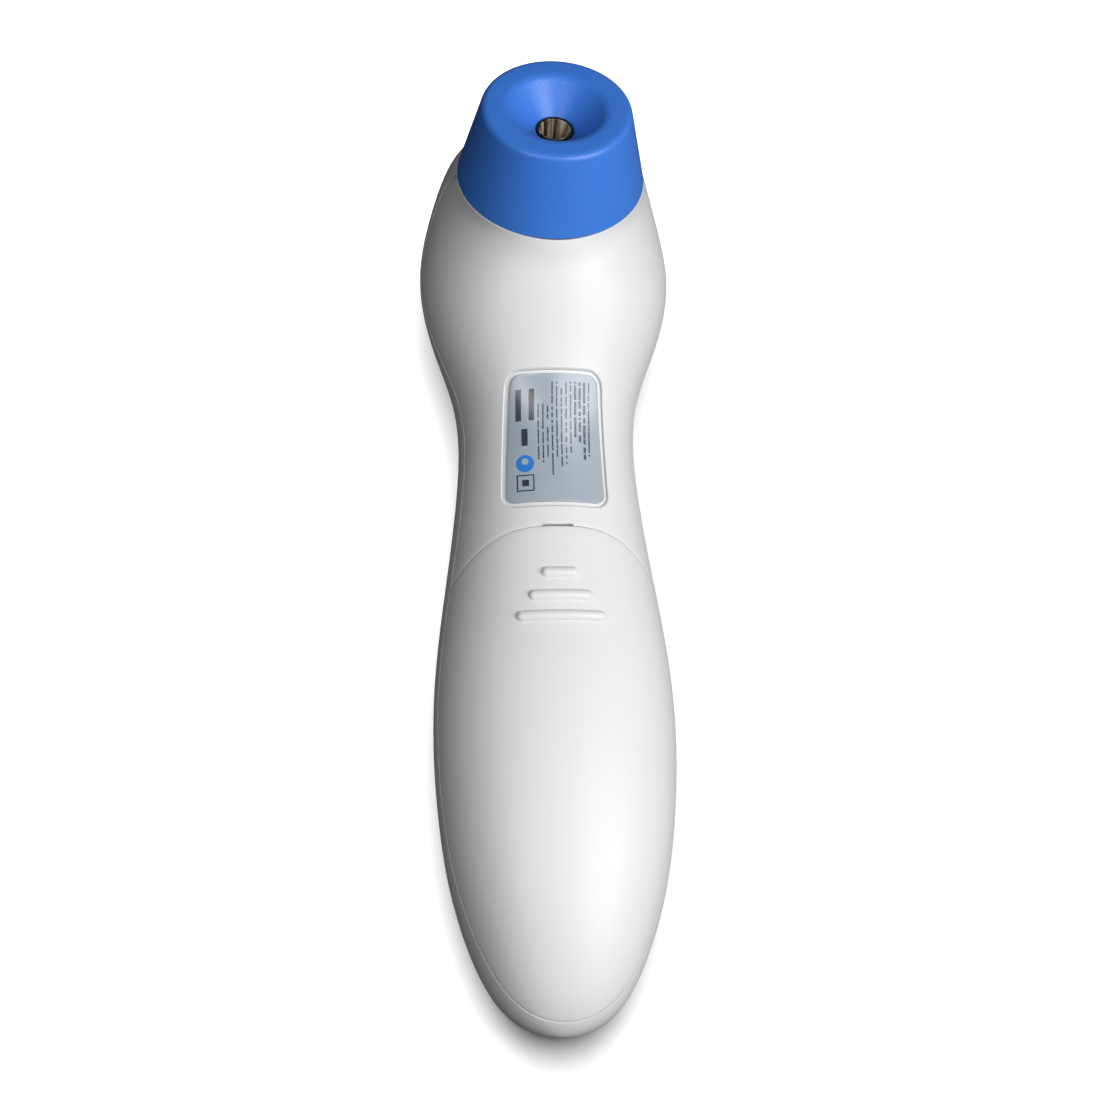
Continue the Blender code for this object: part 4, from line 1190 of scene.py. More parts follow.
@dataclass
class CaseForm:
    """The outside of the case: sections along a cubic spline, from the tail to the probe's rim.

    A section has the y and z of its back and of its front in millimetres from the tail, its half width,
    the share of its height at which it's widest, and the roundness of its back and of its front.
    """

    origin_y: float
    parting_z: float
    probe: ProbeFrame
    rim_r: float = 15.4 * MM
    head_t: float = 14.0
    probe_t: float = 16.0
    door_top: float = 81.0 * MM
    door_drop: float = 6.9 * MM
    door_half: float = 16.4 * MM
    arch_t: Point = (6.0, 11.0)
    columns: int = 96
    sections: tuple[tuple[Point, Point, float, float, float, float], ...] = (
        ((2.0, 16.6), (1.7, 4.9), 7.4, 0.44, 2.1, 2.1),
        ((7.6, 21.2), (7.0, 0.8), 11.8, 0.44, 2.1, 2.3),
        ((15.5, 24.8), (15.5, -0.8), 15.3, 0.43, 2.1, 2.5),
        ((25.5, 27.3), (25.5, -0.9), 18.0, 0.42, 2.15, 2.6),
        ((36.0, 28.7), (36.0, -0.9), 19.3, 0.42, 2.15, 2.6),
        ((47.0, 29.0), (47.0, -0.9), 19.9, 0.42, 2.15, 2.6),
        ((58.0, 28.4), (58.0, -0.9), 19.5, 0.42, 2.15, 2.6),
        ((69.0, 27.1), (69.0, -0.9), 18.1, 0.42, 2.15, 2.6),
        ((80.0, 25.8), (80.0, -0.9), 16.3, 0.43, 2.1, 2.6),
        ((90.0, 25.2), (90.5, -0.9), 14.9, 0.44, 2.1, 2.6),
        ((98.0, 25.6), (99.5, -0.9), 14.2, 0.45, 2.1, 2.6),
        ((104.5, 27.3), (108.0, -0.9), 14.9, 0.45, 2.1, 2.6),
        ((110.2, 29.6), (117.0, -0.9), 18.1, 0.45, 2.1, 2.6),
        ((115.2, 32.0), (127.0, -0.9), 20.4, 0.45, 2.1, 2.6),
        ((119.4, 33.9), (137.0, -0.6), 20.7, 0.46, 2.1, 2.5),
        ((122.8, 35.2), (147.5, 2.2), 18.9, 0.47, 2.05, 2.3),
    )
    controls: np.ndarray = field(init=False)

    def __post_init__(self) -> None:
        """Lay out the spline's control rows, with the tail mirrored and the rim carried on."""
        base = np.array((self.probe.base.y - self.origin_y, self.probe.base.z))
        across = np.array((math.sin(self.probe.tilt), -math.cos(self.probe.tilt))) * self.rim_r
        near, far = base - across, base + across
        rows = [
            [*np.array(back) * MM, *np.array(front) * MM, half * MM, *form]
            for back, front, half, *form in self.sections
        ]
        neck = (near[0] - 1.0 * MM, near[1] - 0.6 * MM, 155.8 * MM, 10.5 * MM, 16.7 * MM)
        rows.append([*neck, 0.485, 2.0, 2.1])
        rows.append([*near, *far, self.rim_r, 0.5, 2.0, 2.0])
        back_y, back_z, front_y, front_z, half, *form = rows[0]
        middle = (back_z + front_z) / 2
        pole = [-back_y / 2, middle, -front_y / 2, middle, 0.0, *form]
        mirrored = [front_y, front_z, back_y, back_z, -half, *form]
        after = [2 * a - b for a, b in zip(rows[-1], rows[-2])]
        self.controls = np.array([mirrored, pole, *rows, after])

    @property
    def end_t(self) -> float:
        """The parameter of the probe's rim."""
        return len(self.controls) - 3.0

    def along(self, distance: float) -> float:
        """Y of a point at a distance from the tail."""
        return self.origin_y + distance

    def section(self, t: np.ndarray | float) -> np.ndarray:
        """Sections of the case.

        Args:
            t: Parameters along it.

        Returns:
            The sections' values, in the last axis.
        """
        t = np.asarray(t, float)
        start = np.clip(np.floor(t), 0, len(self.controls) - 4).astype(int)
        u = t - start
        weights = ((1 - u) ** 3, 3 * u**3 - 6 * u**2 + 4, -3 * u**3 + 3 * u**2 + 3 * u + 1, u**3)
        return sum(w[..., None] / 6 * self.controls[start + i] for i, w in enumerate(weights))

    def point(self, t: np.ndarray, angle: np.ndarray) -> np.ndarray:
        """Points of the outside.

        Args:
            t: Parameters along the case.
            angle: Angles round it: 0 at the widest point on +X, and a quarter turn at the back.

        Returns:
            Positions in the last axis.
        """
        t, angle = np.broadcast_arrays(t, angle)
        back_y, back_z, front_y, front_z, half, widest, n_back, n_front = np.moveaxis(self.section(t), -1, 0)
        sine, cosine = np.sin(angle), np.cos(angle)
        power = 2 / np.where(sine >= 0, n_back, n_front)
        rise = np.abs(sine) ** power
        share = np.where(sine >= 0, widest + (1 - widest) * rise, widest * (1 - rise))
        x = half * np.copysign(np.abs(cosine) ** power, cosine)
        y = self.along(front_y + share * (back_y - front_y))
        z = np.maximum(front_z + share * (back_z - front_z), 0.0)
        return np.stack((x, y, z), -1)

    def parting_angle(self, t: np.ndarray, offset: float) -> np.ndarray:
        """Angles of the parting line: on its plane along the handle, on the widest line at the probe.

        Args:
            t: Parameters along the case.
            offset: A height above the line.

        Returns:
            The angles.
        """
        row = self.section(t)
        back_z, front_z, widest, n_back, n_front = (row[..., i] for i in (1, 3, 5, 6, 7))
        height = back_z - front_z
        u = np.clip((t - self.head_t) / (self.probe_t - self.head_t), 0.0, 1.0)
        on_plane = (self.parting_z - front_z) / height
        share = on_plane + (widest - on_plane) * u * u * (3 - 2 * u) + offset / height
        above = np.clip((share - widest) / (1 - widest), 0.0, 1.0) ** (n_back / 2)
        below = np.clip(1 - share / widest, 0.0, 1.0) ** (n_front / 2)
        return np.where(share >= widest, np.arcsin(above), -np.arcsin(below))

    @staticmethod
    def solve(beyond: Callable[[np.ndarray], np.ndarray], low: np.ndarray, high: np.ndarray) -> np.ndarray:
        """Where a test turns from false to true, by halving.

        Args:
            beyond: The test.
            low: Where it's false.
            high: Where it's true.

        Returns:
            The values.
        """
        for _ in range(40):
            middle = (low + high) / 2
            past = beyond(middle)
            low, high = np.where(past, low, middle), np.where(past, middle, high)
        return high

    def back_height(self, x: np.ndarray, y: np.ndarray) -> np.ndarray:
        """Heights of the back over points of the plan.

        Args:
            x: Across.
            y: Along.

        Returns:
            The heights.
        """
        x, y = np.broadcast_arrays(np.asarray(x, float), np.asarray(y, float))

        def level(t: np.ndarray) -> tuple[np.ndarray, np.ndarray]:
            """Where the back lies over x.

            Args:
                t: Parameters along the case.

            Returns:
                Its y and z.
            """
            back_y, back_z, front_y, front_z, half, widest, n_back, _ = np.moveaxis(self.section(t), -1, 0)
            rise = np.maximum(1 - (np.abs(x) / half) ** n_back, 0.0) ** (1 / n_back)
            share = widest + (1 - widest) * rise
            return self.along(front_y + share * (back_y - front_y)), front_z + share * (back_z - front_z)

        t = self.solve(lambda value: level(value)[0] > y, np.full(x.shape, 1.0), np.full(x.shape, self.end_t))
        return level(t)[1]

    def door_edge(self, x: np.ndarray) -> np.ndarray:
        """Y of the door's arched top edge."""
        return self.along(self.door_top - self.door_drop * (np.abs(x) / self.door_half) ** 3)

    def tail_t(self, height: float) -> np.ndarray:
        """The parameter at which the back of the tail passes a height."""
        return self.solve(lambda t: self.section(t)[..., 1] > height, np.array(0.0), np.array(3.0))

    def front_rows(self, gap: float, columns: int = 128, steps: int = 150) -> np.ndarray:
        """Rows round the front shell. They close over its tail, and open at the parting line.

        Args:
            gap: The parting line's gap.
            columns: Faces round a row.
            steps: Rows beyond the closed tail.

        Returns:
            Rows of positions.
        """
        close = self.tail_t(self.parting_z - gap / 2)
        before = close * np.sin(np.linspace(0, math.pi / 2, 14))
        beyond = close + (self.end_t - close) * np.linspace(0, 1, steps)[1:] ** 1.5
        t = np.concatenate((before, beyond))[:, None]
        edge = np.where(t > close + 1e-9, self.parting_angle(t, -gap / 2), math.pi / 2)
        share = np.linspace(0, 1, columns + 1)
        rows = self.point(t, -math.pi - edge + share * (math.pi + 2 * edge))
        rows[0] = rows[0].mean(0)
        return rows

    def back_rows(
        self,
        offset: float,
        low: Callable[[Callable], np.ndarray],
        high: Callable[[Callable], np.ndarray],
        shares: np.ndarray,
    ) -> np.ndarray:
        """Rows over the back from one side of the parting line to the other.

        Args:
            offset: The edge's height above the parting line.
            low: Gives each column's first parameter.
            high: Gives each column's last parameter.
            shares: Where the rows lie between them.

        Returns:
            Rows of positions.
        """
        across = np.linspace(0, 1, self.columns + 1)

        def angle(t: np.ndarray) -> np.ndarray:
            """Each column's angle at a parameter."""
            edge = self.parting_angle(t, offset)
            return edge + across * (math.pi - 2 * edge)

        first, last = low(angle), high(angle)
        t = first + shares[:, None] * (last - first)
        return self.point(t, angle(t))

    def arch(self, angle: Callable[[np.ndarray], np.ndarray], shift: float) -> np.ndarray:
        """Where the columns of the back cross the door's top edge.

        Args:
            angle: Each column's angle at a parameter.
            shift: How far the edge is moved along Y.

        Returns:
            Their parameters.
        """

        def beyond(t: np.ndarray) -> np.ndarray:
            """Whether the columns are past the edge."""
            point = self.point(t, angle(t))
            return point[..., 1] > self.door_edge(point[..., 0]) + shift

        return self.solve(beyond, *(np.full(self.columns + 1, t) for t in self.arch_t))

    def blanket(self, name: str, plan: Callable[[float], np.ndarray], path: Sequence[Triple]) -> Mesh:
        """A closed solid that follows the back, from rings about the middle of an outline.

        Args:
            name: The mesh's name.
            plan: Gives the outline moved outwards by an offset.
            path: Offset, scale and depth of each ring.

        Returns:
            The mesh.
        """
        middle = plan(0.0).mean(0)
        rings = []
        for offset, scale, depth in path:
            points = middle + (plan(offset) - middle) * scale
            rings.append(np.column_stack((points, self.back_height(*points.T) - depth)))
        return stacked(name, np.array(rings))


@dataclass
class PrintedPatch:
    """An outline on the back that narrows towards the head, for the label and its recess."""

    form: CaseForm
    low: Point
    high: Point
    corner: float

    def plan(self, offset: float) -> np.ndarray:
        """The outline, moved outwards.

        Args:
            offset: How far.

        Returns:
            Positions in plan.
        """
        (low_y, low_half), (high_y, high_half) = self.low, self.high
        middle, half = (low_y + high_y) / 2, (low_half + high_half) / 2
        points = self._filled(outline(half, (high_y - low_y) / 2, self.corner, offset, 8))
        points[:, 0] *= 1 + (high_half - low_half) * points[:, 1] / (high_y - low_y) / half
        points[:, 1] += self.form.along(middle)
        return points

    @staticmethod
    def _filled(points: np.ndarray, most: float = 0.8 * MM) -> np.ndarray:
        """Add points to an outline's straight sides.

        Args:
            points: The outline.
            most: The longest step that it keeps.

        Returns:
            The outline with its new points.
        """
        filled = []
        for here, there in zip(points, np.roll(points, -1, axis=0)):
            steps = max(int(round(float(np.linalg.norm(there - here)) / most)), 1)
            filled.extend(here + (there - here) * np.arange(steps)[:, None] / steps)
        return np.array(filled)


INWARD = (0.97, 0.9, 0.78, 0.64, 0.5, 0.36, 0.22, 0.08)


@dataclass
class CaseShells:
    """The three shells of the case: the display side, the head's back and the battery door."""

    shop: Workshop
    form: CaseForm
    thickness: float = 2.0 * MM
    gap: float = 0.4 * MM
    seam: float = 0.16 * MM
    soft: float = 0.4 * MM
    recess_depth: float = 0.7 * MM
    recess_edge: float = 0.35 * MM
    slot_half: float = 2.9 * MM
    slot_width: float = 0.28 * MM
    slot_lip: float = 0.35 * MM
    tongue_half: float = 2.6 * MM
    tongue_z: Point = (21.6 * MM, 23.1 * MM)
    tongue_y: Point = (75.0 * MM, 85.4 * MM)
    flange_z: Point = (15.7 * MM, 17.3 * MM)
    flange_y: Point = (73.0 * MM, 83.6 * MM)
    flange_half: float = 12.2 * MM
    bulkhead_y: Point = (82.4 * MM, 84.0 * MM)
    window_corner: float = 1.8 * MM
    key_flange: float = 1.2 * MM
    hooks: tuple[float, ...] = (30.0 * MM, 60.0 * MM)
    bosses: tuple[tuple[float, float, float, float], ...] = (
        (8.0 * MM, 77.5 * MM, 2.8 * MM, 15.4 * MM),
        (5.0 * MM, 13.0 * MM, 2.8 * MM, 13.5 * MM),
        (8.2 * MM, 107.5 * MM, 2.2 * MM, 7.7 * MM),
    )

    def build(self) -> None:
        """Make the three shells."""
        self.front()
        self.cover()
        self.door()

    def front(self) -> None:
        """The shell with the display's opening, the buttons' holes and the screw bosses."""
        shell = wall("front_shell", self.form.front_rows(self.gap), self.thickness, self.soft)
        cutters = []
        for node in ("display_window", "measure_button", "mode_button"):
            centre, (half_x, half_y) = plan_of(node)
            corner = self.window_corner
            if node != "display_window":
                half_x = half_y = corner = half_x - self.key_flange
            sizes = (half_x + self.seam, half_y + self.seam, corner + self.seam)
            cutters.append(mouth_cutter(node, centre, sizes, 6 * MM, 0.3 * MM))
        cut(shell, cutters)
        meshes = []
        hole, foot = 1.4 * MM, 1.8 * MM
        for x, y, radius, top in self.bosses:
            profile = [(hole, top), (radius, top), (radius + 0.3 * MM, foot), (hole, foot), (hole, top)]
            for side in (-1, 1):
                boss = self.shop.turning.turn("boss", profile, self.shop.finishes.white, 32)
                boss.transform(Matrix.Translation((side * x, self.form.along(y), 0.0)))
                meshes.append(boss)
        self._fit(shell, "front_shell", Body.CASE, meshes)

    def _fit(self, shell: Object, node: str, body: Body, inside: Sequence[Mesh]) -> None:
        """Add what stands inside a shell, and set it in its CAD node's place.

        Args:
            shell: The shell.
            node: The CAD node.
            body: The body it moves with.
            inside: The meshes inside it.
        """
        shell.data = joined(node, [shell.data, *inside])
        self.shop.fit(shell, f"{node}_fine", self.shop.finishes.white, body, "white_abs", [node])

    def cover(self) -> None:
        """The back of the head and neck, with the label's recess, the latch slot and the screw flange."""
        form = self.form
        rows = form.back_rows(
            self.gap / 2,
            lambda angle: form.arch(angle, self.seam / 2),
            lambda angle: np.full(form.columns + 1, form.end_t),
            np.linspace(0, 1, 110),
        )
        shell = wall("back_cover", rows, self.thickness, self.soft)
        cut(shell, [self._recess()])
        cut(shell, [self._notch()])
        middle = form.along(sum(self.flange_y) / 2)
        half_y = (self.flange_y[1] - self.flange_y[0]) / 2
        sizes = (self.flange_half, half_y, 1.0 * MM)
        flange = slab("flange", (0.0, middle), sizes, *self.flange_z, 0.25 * MM)
        self._fit(shell, "back_cover", Body.CASE, [flange, self._bulkhead()])

    def _recess(self) -> Mesh:
        """The cutter of the label's recess, with a soft edge and a floor that follows the back.

        Returns:
            The mesh.
        """
        patch = PrintedPatch(self.form, (84.6 * MM, 8.7 * MM), (106.9 * MM, 7.8 * MM), 2.3 * MM)
        above = -1.2 * MM
        path = [(0.0, scale, above) for scale in reversed(INWARD)]
        path += [(1.6 * self.recess_edge, 1.0, above)]
        path += [(inset, 1.0, depth) for inset, depth in quarter_round(self.recess_edge, 5)[1:]]
        path += [(0.0, scale, self.recess_depth) for scale in (1.0, *INWARD)]
        return self.form.blanket("recess", patch.plan, path)

    def _notch(self) -> Mesh:
        """The cutter of the latch's slot over the door's top edge, flared at the surface into a soft lip.

        Returns:
            The mesh.
        """
        top = float(self.form.back_height(0.0, self.form.along(self.form.door_top)))
        half_y = 1.6 * MM
        middle = self.form.along(self.form.door_top) + self.slot_width + self.seam / 2 - half_y
        levels = [(0.0, top - 3.5 * MM)]
        levels += [(inset, top - depth) for inset, depth in reversed(quarter_round(self.slot_lip)[1:])]
        levels += [(1.3 * self.slot_lip, top + 2 * MM)]
        sizes = (self.slot_half - self.slot_lip, half_y, 0.3 * MM)
        return layered("notch", (0.0, middle), sizes, levels)

    def _bulkhead(self) -> Mesh:
        """The wall that closes the battery bay, with the latch's slot in it.

        Returns:
            The mesh.
        """
        form, low = self.form, self.flange_z[0]
        y = form.along(self.bulkhead_y[1])
        xs = np.linspace(-15.5 * MM, 15.5 * MM, 400)
        inside = xs[form.back_height(xs, y) > low + 3 * MM]
        top = np.linspace(inside[-1] - 1 * MM, inside[0] + 1 * MM, 40)
        edge = [(-top[0], low), (top[0], low), *zip(top, form.back_height(top, y) - 1.1 * MM)]
        rings = [[(x, form.along(level), z) for x, z in edge] for level in self.bulkhead_y]
        bulkhead = new_object("bulkhead", stacked("bulkhead", np.array(rings)))
        half = (self.slot_half + self.seam, 3 * MM, 0.2 * MM)
        centre = (0.0, form.along(sum(self.bulkhead_y) / 2))
        slot_z = (self.tongue_z[0] - self.seam, self.tongue_z[1] + self.seam)
        mesh = cut(bulkhead, [slab("slot", centre, half, *slot_z, 0.05 * MM)]).data
        bpy.data.objects.remove(bulkhead)
        return mesh

    def door(self) -> None:
        """The cover over the whole back of the handle, with its hooks and latch tongue."""
        form = self.form
        edge_z = form.parting_z + self.gap / 2
        start = float(form.tail_t(edge_z))
        rows = form.back_rows(
            self.gap / 2,
            lambda angle: np.full(form.columns + 1, start),
            lambda angle: form.arch(angle, -self.seam / 2),
            np.linspace(0, 1, 120) ** 1.6,
        )
        shell = wall("battery_door", rows, self.thickness, self.soft)
        centre, sizes = (0.0, form.along(40 * MM)), (30 * MM, 60 * MM, 1 * MM)
        cut(shell, [slab("trim", centre, sizes, -5 * MM, edge_z - 0.04 * MM, 0.1 * MM)])
        self._fit(shell, "battery_door", Body.DOOR, [*self._hooks(), *self._tongue()])

    def _hooks(self) -> list[Mesh]:
        """Four hooks inside the door, which run under the tray's rails.

        Returns:
            Their meshes.
        """
        meshes = []
        for y in self.hooks:
            middle = self.form.along(y + 2 * MM)
            xs = np.linspace(10 * MM, 19 * MM, 200)
            reach = xs[self.form.back_height(xs, middle) > 20 * MM][-1] - 0.6 * MM
            half_x = (reach - 12.5 * MM) / 2
            for side in (-1, 1):
                centre = (side * (12.5 * MM + half_x), middle)
                sizes = (half_x, 2 * MM, 0.3 * MM)
                meshes.append(slab("hook", centre, sizes, 15.9 * MM, 16.9 * MM, 0.15 * MM))
        return meshes

    def _tongue(self) -> list[Mesh]:
        """The latch's tongue, and the web that holds it under the door.

        Returns:
            Their meshes.
        """
        first, last = (self.form.along(y) for y in self.tongue_y)
        half_y = (last - first) / 2
        sizes = (self.tongue_half, half_y, 0.5 * MM)
        tongue = slab("tongue", (0.0, first + half_y), sizes, *self.tongue_z, 0.2 * MM)
        web_end = self.form.along(self.form.door_top) - 1.4 * MM
        half_y = (web_end - first - 0.6 * MM) / 2
        top = float(self.form.back_height(0.0, first)) - self.thickness / 2
        sizes = (self.tongue_half - 0.3 * MM, half_y, 0.3 * MM)
        web = slab("web", (0.0, web_end - half_y), sizes, self.tongue_z[0] + 0.5 * MM, top, 0.1 * MM)
        return [tongue, web]


@dataclass
class GripRibs:
    """Three round-ended ribs across the door, each longer than the one above it."""

    shop: Workshop
    form: CaseForm
    rows: tuple[Point, ...] = ((73.0 * MM, 6.1 * MM), (69.1 * MM, 10.3 * MM), (65.6 * MM, 14.4 * MM))
    radius: float = 0.95 * MM
    height: float = 0.7 * MM
    steps: int = 40

    def build(self) -> None:
        """Lay a line along the door for each rib and sweep it."""
        points: list[np.ndarray] = []
        edges: list[Point] = []
        for distance, length in self.rows:
            x = -np.cos(np.linspace(0, math.pi, self.steps)) * length / 2
            y = np.full(self.steps, self.form.along(distance))
            z = self.form.back_height(x, y) - self.radius + self.height
            start = len(points) * self.steps
            edges += [(start + i, start + i + 1) for i in range(self.steps - 1)]
            points.append(np.column_stack((x, y, z)))
        source = mesh_of("rib_lines", np.concatenate(points), [], edges)
        finish = self.shop.finishes.white
        mesh = self.shop.sweeping.make(source, finish, {"Radius": self.radius, "Sides": 32})
        self.shop.fit(mesh, "grip_ribs", finish, Body.DOOR, "white_abs")


@dataclass
class RatingLabel:
    """The film label in its recess."""

    shop: Workshop
    form: CaseForm
    sunk: float = 0.2 * MM
    film: float = 0.28 * MM
    edge: float = 0.08 * MM

    def build(self) -> None:
        """Make the film as a closed blanket over the back."""
        patch = PrintedPatch(self.form, (85.3 * MM, 8.1 * MM), (106.3 * MM, 7.1 * MM), 1.6 * MM)
        low, high = self.sunk + self.film, self.sunk
        path = [(0.0, scale, low) for scale in (*reversed(INWARD), 1.0)]
        path += [(-inset, 1.0, high + depth) for inset, depth in reversed(quarter_round(self.edge, 3))]
        path += [(0.0, scale, high) for scale in INWARD]
        mesh = self.form.blanket("rating_label", patch.plan, path)
        finish = self.shop.finishes.label
        self.shop.fit(mesh, "printed_label", finish, Body.CASE, "label_film", ["rating_label"])


# ------------------------------------------------------------------------------------ probe


def rounded_profile(corners: Sequence[Triple], steps: int = 8) -> list[Point]:
    """A profile with rounded corners, closed by repeating its first point.

    Args:
        corners: Radius, height and rounding of each corner.
        steps: Segments in a rounding.

    Returns:
        Radius and height of its points.
    """
    profile: list[Point] = []
    count = len(corners)
    for number, (radius, height, rounding) in enumerate(corners):
        here = np.array((radius, height))
        if not rounding:
            profile.append((radius, height))
            continue
        before = np.array(corners[number - 1][:2]) - here
        after = np.array(corners[(number + 1) % count][:2]) - here
        start = here + before / np.linalg.norm(before) * rounding
        end = here + after / np.linalg.norm(after) * rounding
        for u in np.linspace(0, 1, steps + 1):
            profile.append(tuple((1 - u) ** 2 * start + 2 * u * (1 - u) * here + u * u * end))
    return [*profile, profile[0]]


@dataclass
class ProbeHead:
    """The blue cap with its dish, and what the bore holds, all along the probe's axis."""

    shop: Workshop
    probe: ProbeFrame
    rim_r: float = 15.4 * MM
    side_r: float = 12.25 * MM
    top: float = 14.95 * MM
    dish_r: float = 8.2 * MM
    dish_floor: float = 10.2 * MM
    bore_r: float = 3.1 * MM
    collar_r: float = 13.0 * MM
    cap_wall: float = 1.6 * MM

    def build(self) -> None:
        """Make the cap, the seal, the reflector and the sensor."""
        finishes = self.shop.finishes
        bore_out = self.bore_r + self.cap_wall
        foot = 0.12 * MM
        cap = [
            (self.bore_r, self.dish_floor, 0.35 * MM),
            (self.dish_r, self.top, 0.9 * MM),
            (self.side_r, self.top, 1.1 * MM),
            (self.rim_r, foot, 0.3 * MM),
            (self.collar_r, foot, 0.1 * MM),
            (self.collar_r, -3.0 * MM, 0.4 * MM),
            (self.collar_r - self.cap_wall, -3.0 * MM, 0.3 * MM),
            (self.collar_r - self.cap_wall, 3.0 * MM, 0.5 * MM),
            (10.4 * MM, 12.2 * MM, 0.5 * MM),
            (9.2 * MM, 13.2 * MM, 0.5 * MM),
            (bore_out, self.dish_floor - 1.4 * MM, 0.3 * MM),
            (bore_out, 7.6 * MM, 0.2 * MM),
            (self.bore_r, 7.6 * MM, 0.2 * MM),
        ]
        ring = [(2.98, 10.5, 0.1), (2.98, 9.65, 0.05), (2.7, 9.65, 0.05), (2.7, 10.5, 0.1)]
        guide = [(2.6, 10.35, 0.03), (2.6, 9.3, 0.05), (2.85, 9.3, 0.05), (2.85, 8.7, 0.05)]
        guide += [(2.55, 8.5, 0.1), (2.55, 3.8, 0.1), (1.7, 3.8, 0.1), (2.45, 10.35, 0.03)]
        can = [(0.0, 2.6, 0), (1.6, 2.6, 0), (1.6, 3.5, 0.08), (2.3, 3.5, 0.3), (2.35, 0.3, 0.15)]
        can += [(2.7, 0.3, 0.1), (2.7, 0.0, 0.05), (0.0, 0.0, 0)]
        self._turned("probe_cap_fine", cap, finishes.blue, "blue_abs", ["probe_cap"], 192)
        for name, corners, finish, slot, node in (
            ("bore_seal", ring, finishes.black, "black_plastic", "probe_seal_ring"),
            ("reflector", guide, finishes.nickel, "waveguide_nickel", "waveguide"),
            ("sensor_can", can, finishes.steel, "steel", "thermopile_can"),
        ):
            sized = [tuple(value * MM for value in corner) for corner in corners]
            self._turned(name, sized, finish, slot, [node], 96)
        self.shop.dress(finishes.silicon, "thermopile_window")
        self.shop.dress(finishes.grey, "sensor_holder")
        self.shop.dress(finishes.board, "sensor_board")

    def _turned(
        self,
        name: str,
        corners: Sequence[Triple],
        finish: Material,
        slot: str,
        stands_for: Sequence[str],
        sides: int,
    ) -> None:
        """Turn a profile and set it on the probe's axis.

        Args:
            name: The piece's name.
            corners: Radius, height and rounding of each corner.
            finish: Its material.
            slot: The record's material slot.
            stands_for: The CAD nodes it replaces.
            sides: Segments round the axis.
        """
        mesh = self.shop.turning.turn(name, rounded_profile(corners), finish, sides)
        self.shop.fit(self.probe.place(mesh), name, finish, Body.CASE, slot, stands_for)


# ------------------------------------------------------------------------------------ inside and controls


@dataclass
class Controls:
    """The display's window and the two buttons on the display face, with what is under them."""

    shop: Workshop
    dish: float = 0.28 * MM
    flange: float = 1.2 * MM

    def build(self) -> None:
        """Make the window and the buttons, and dress the rest."""
        finishes = self.shop.finishes
        node = "display_window"
        low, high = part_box(node)
        centre, half = plan_of(node)
        window = slab("window", centre, (*half, 1.8 * MM), low.z, high.z, 0.25 * MM)
        self.shop.fit(window, "smoked_display", finishes.window, Body.CASE, "smoked_window", [node])
        for body in (Body.MEASURE, Body.MODE):
            self._button(body)
            word = body.value.split("_")[0]
            self.shop.dress(finishes.black, f"{word}_plunger")
            self.shop.dress(finishes.steel, f"{word}_switch")
        self.shop.dress(finishes.lcd, "lcd_glass")
        self.shop.dress(finishes.grey, "display_frame", "contact_strip")
        self.shop.dress(finishes.clear, "backlight")

    def _button(self, body: Body) -> None:
        """A round key with a shallow dish, a soft edge and the flange that keeps it in the case.

        Args:
            body: The button's body.
        """
        low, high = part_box(body.value)
        radius = (high.x - low.x) / 2 - self.flange
        wide = radius + self.flange
        corners = [
            (0.0, high.z, 0),
            (1.8 * MM, high.z, 0.15 * MM),
            (1.8 * MM, high.z - 0.6 * MM, 0.1 * MM),
            (wide, high.z - 0.6 * MM, 0.15 * MM),
            (wide, high.z - 1.4 * MM, 0.15 * MM),
            (radius, high.z - 1.4 * MM, 0.1 * MM),
            (radius, low.z, 0.45 * MM),
        ]
        profile = rounded_profile(corners)[:-1]
        for u in np.linspace(0, 1, 12):
            reach = (radius - 0.7 * MM) * (1 - u)
            profile.append((reach, low.z + self.dish * math.sin(u * math.pi / 2) ** 2))
        profile.append(profile[0])
        mesh = self.shop.turning.turn(body.value, profile, self.shop.finishes.button, 96)
        set_over(mesh, body.value, 0.0)
        finish = self.shop.finishes.button
        self.shop.fit(mesh, f"{body.value}_key", finish, body, "button_plastic", [body.value])


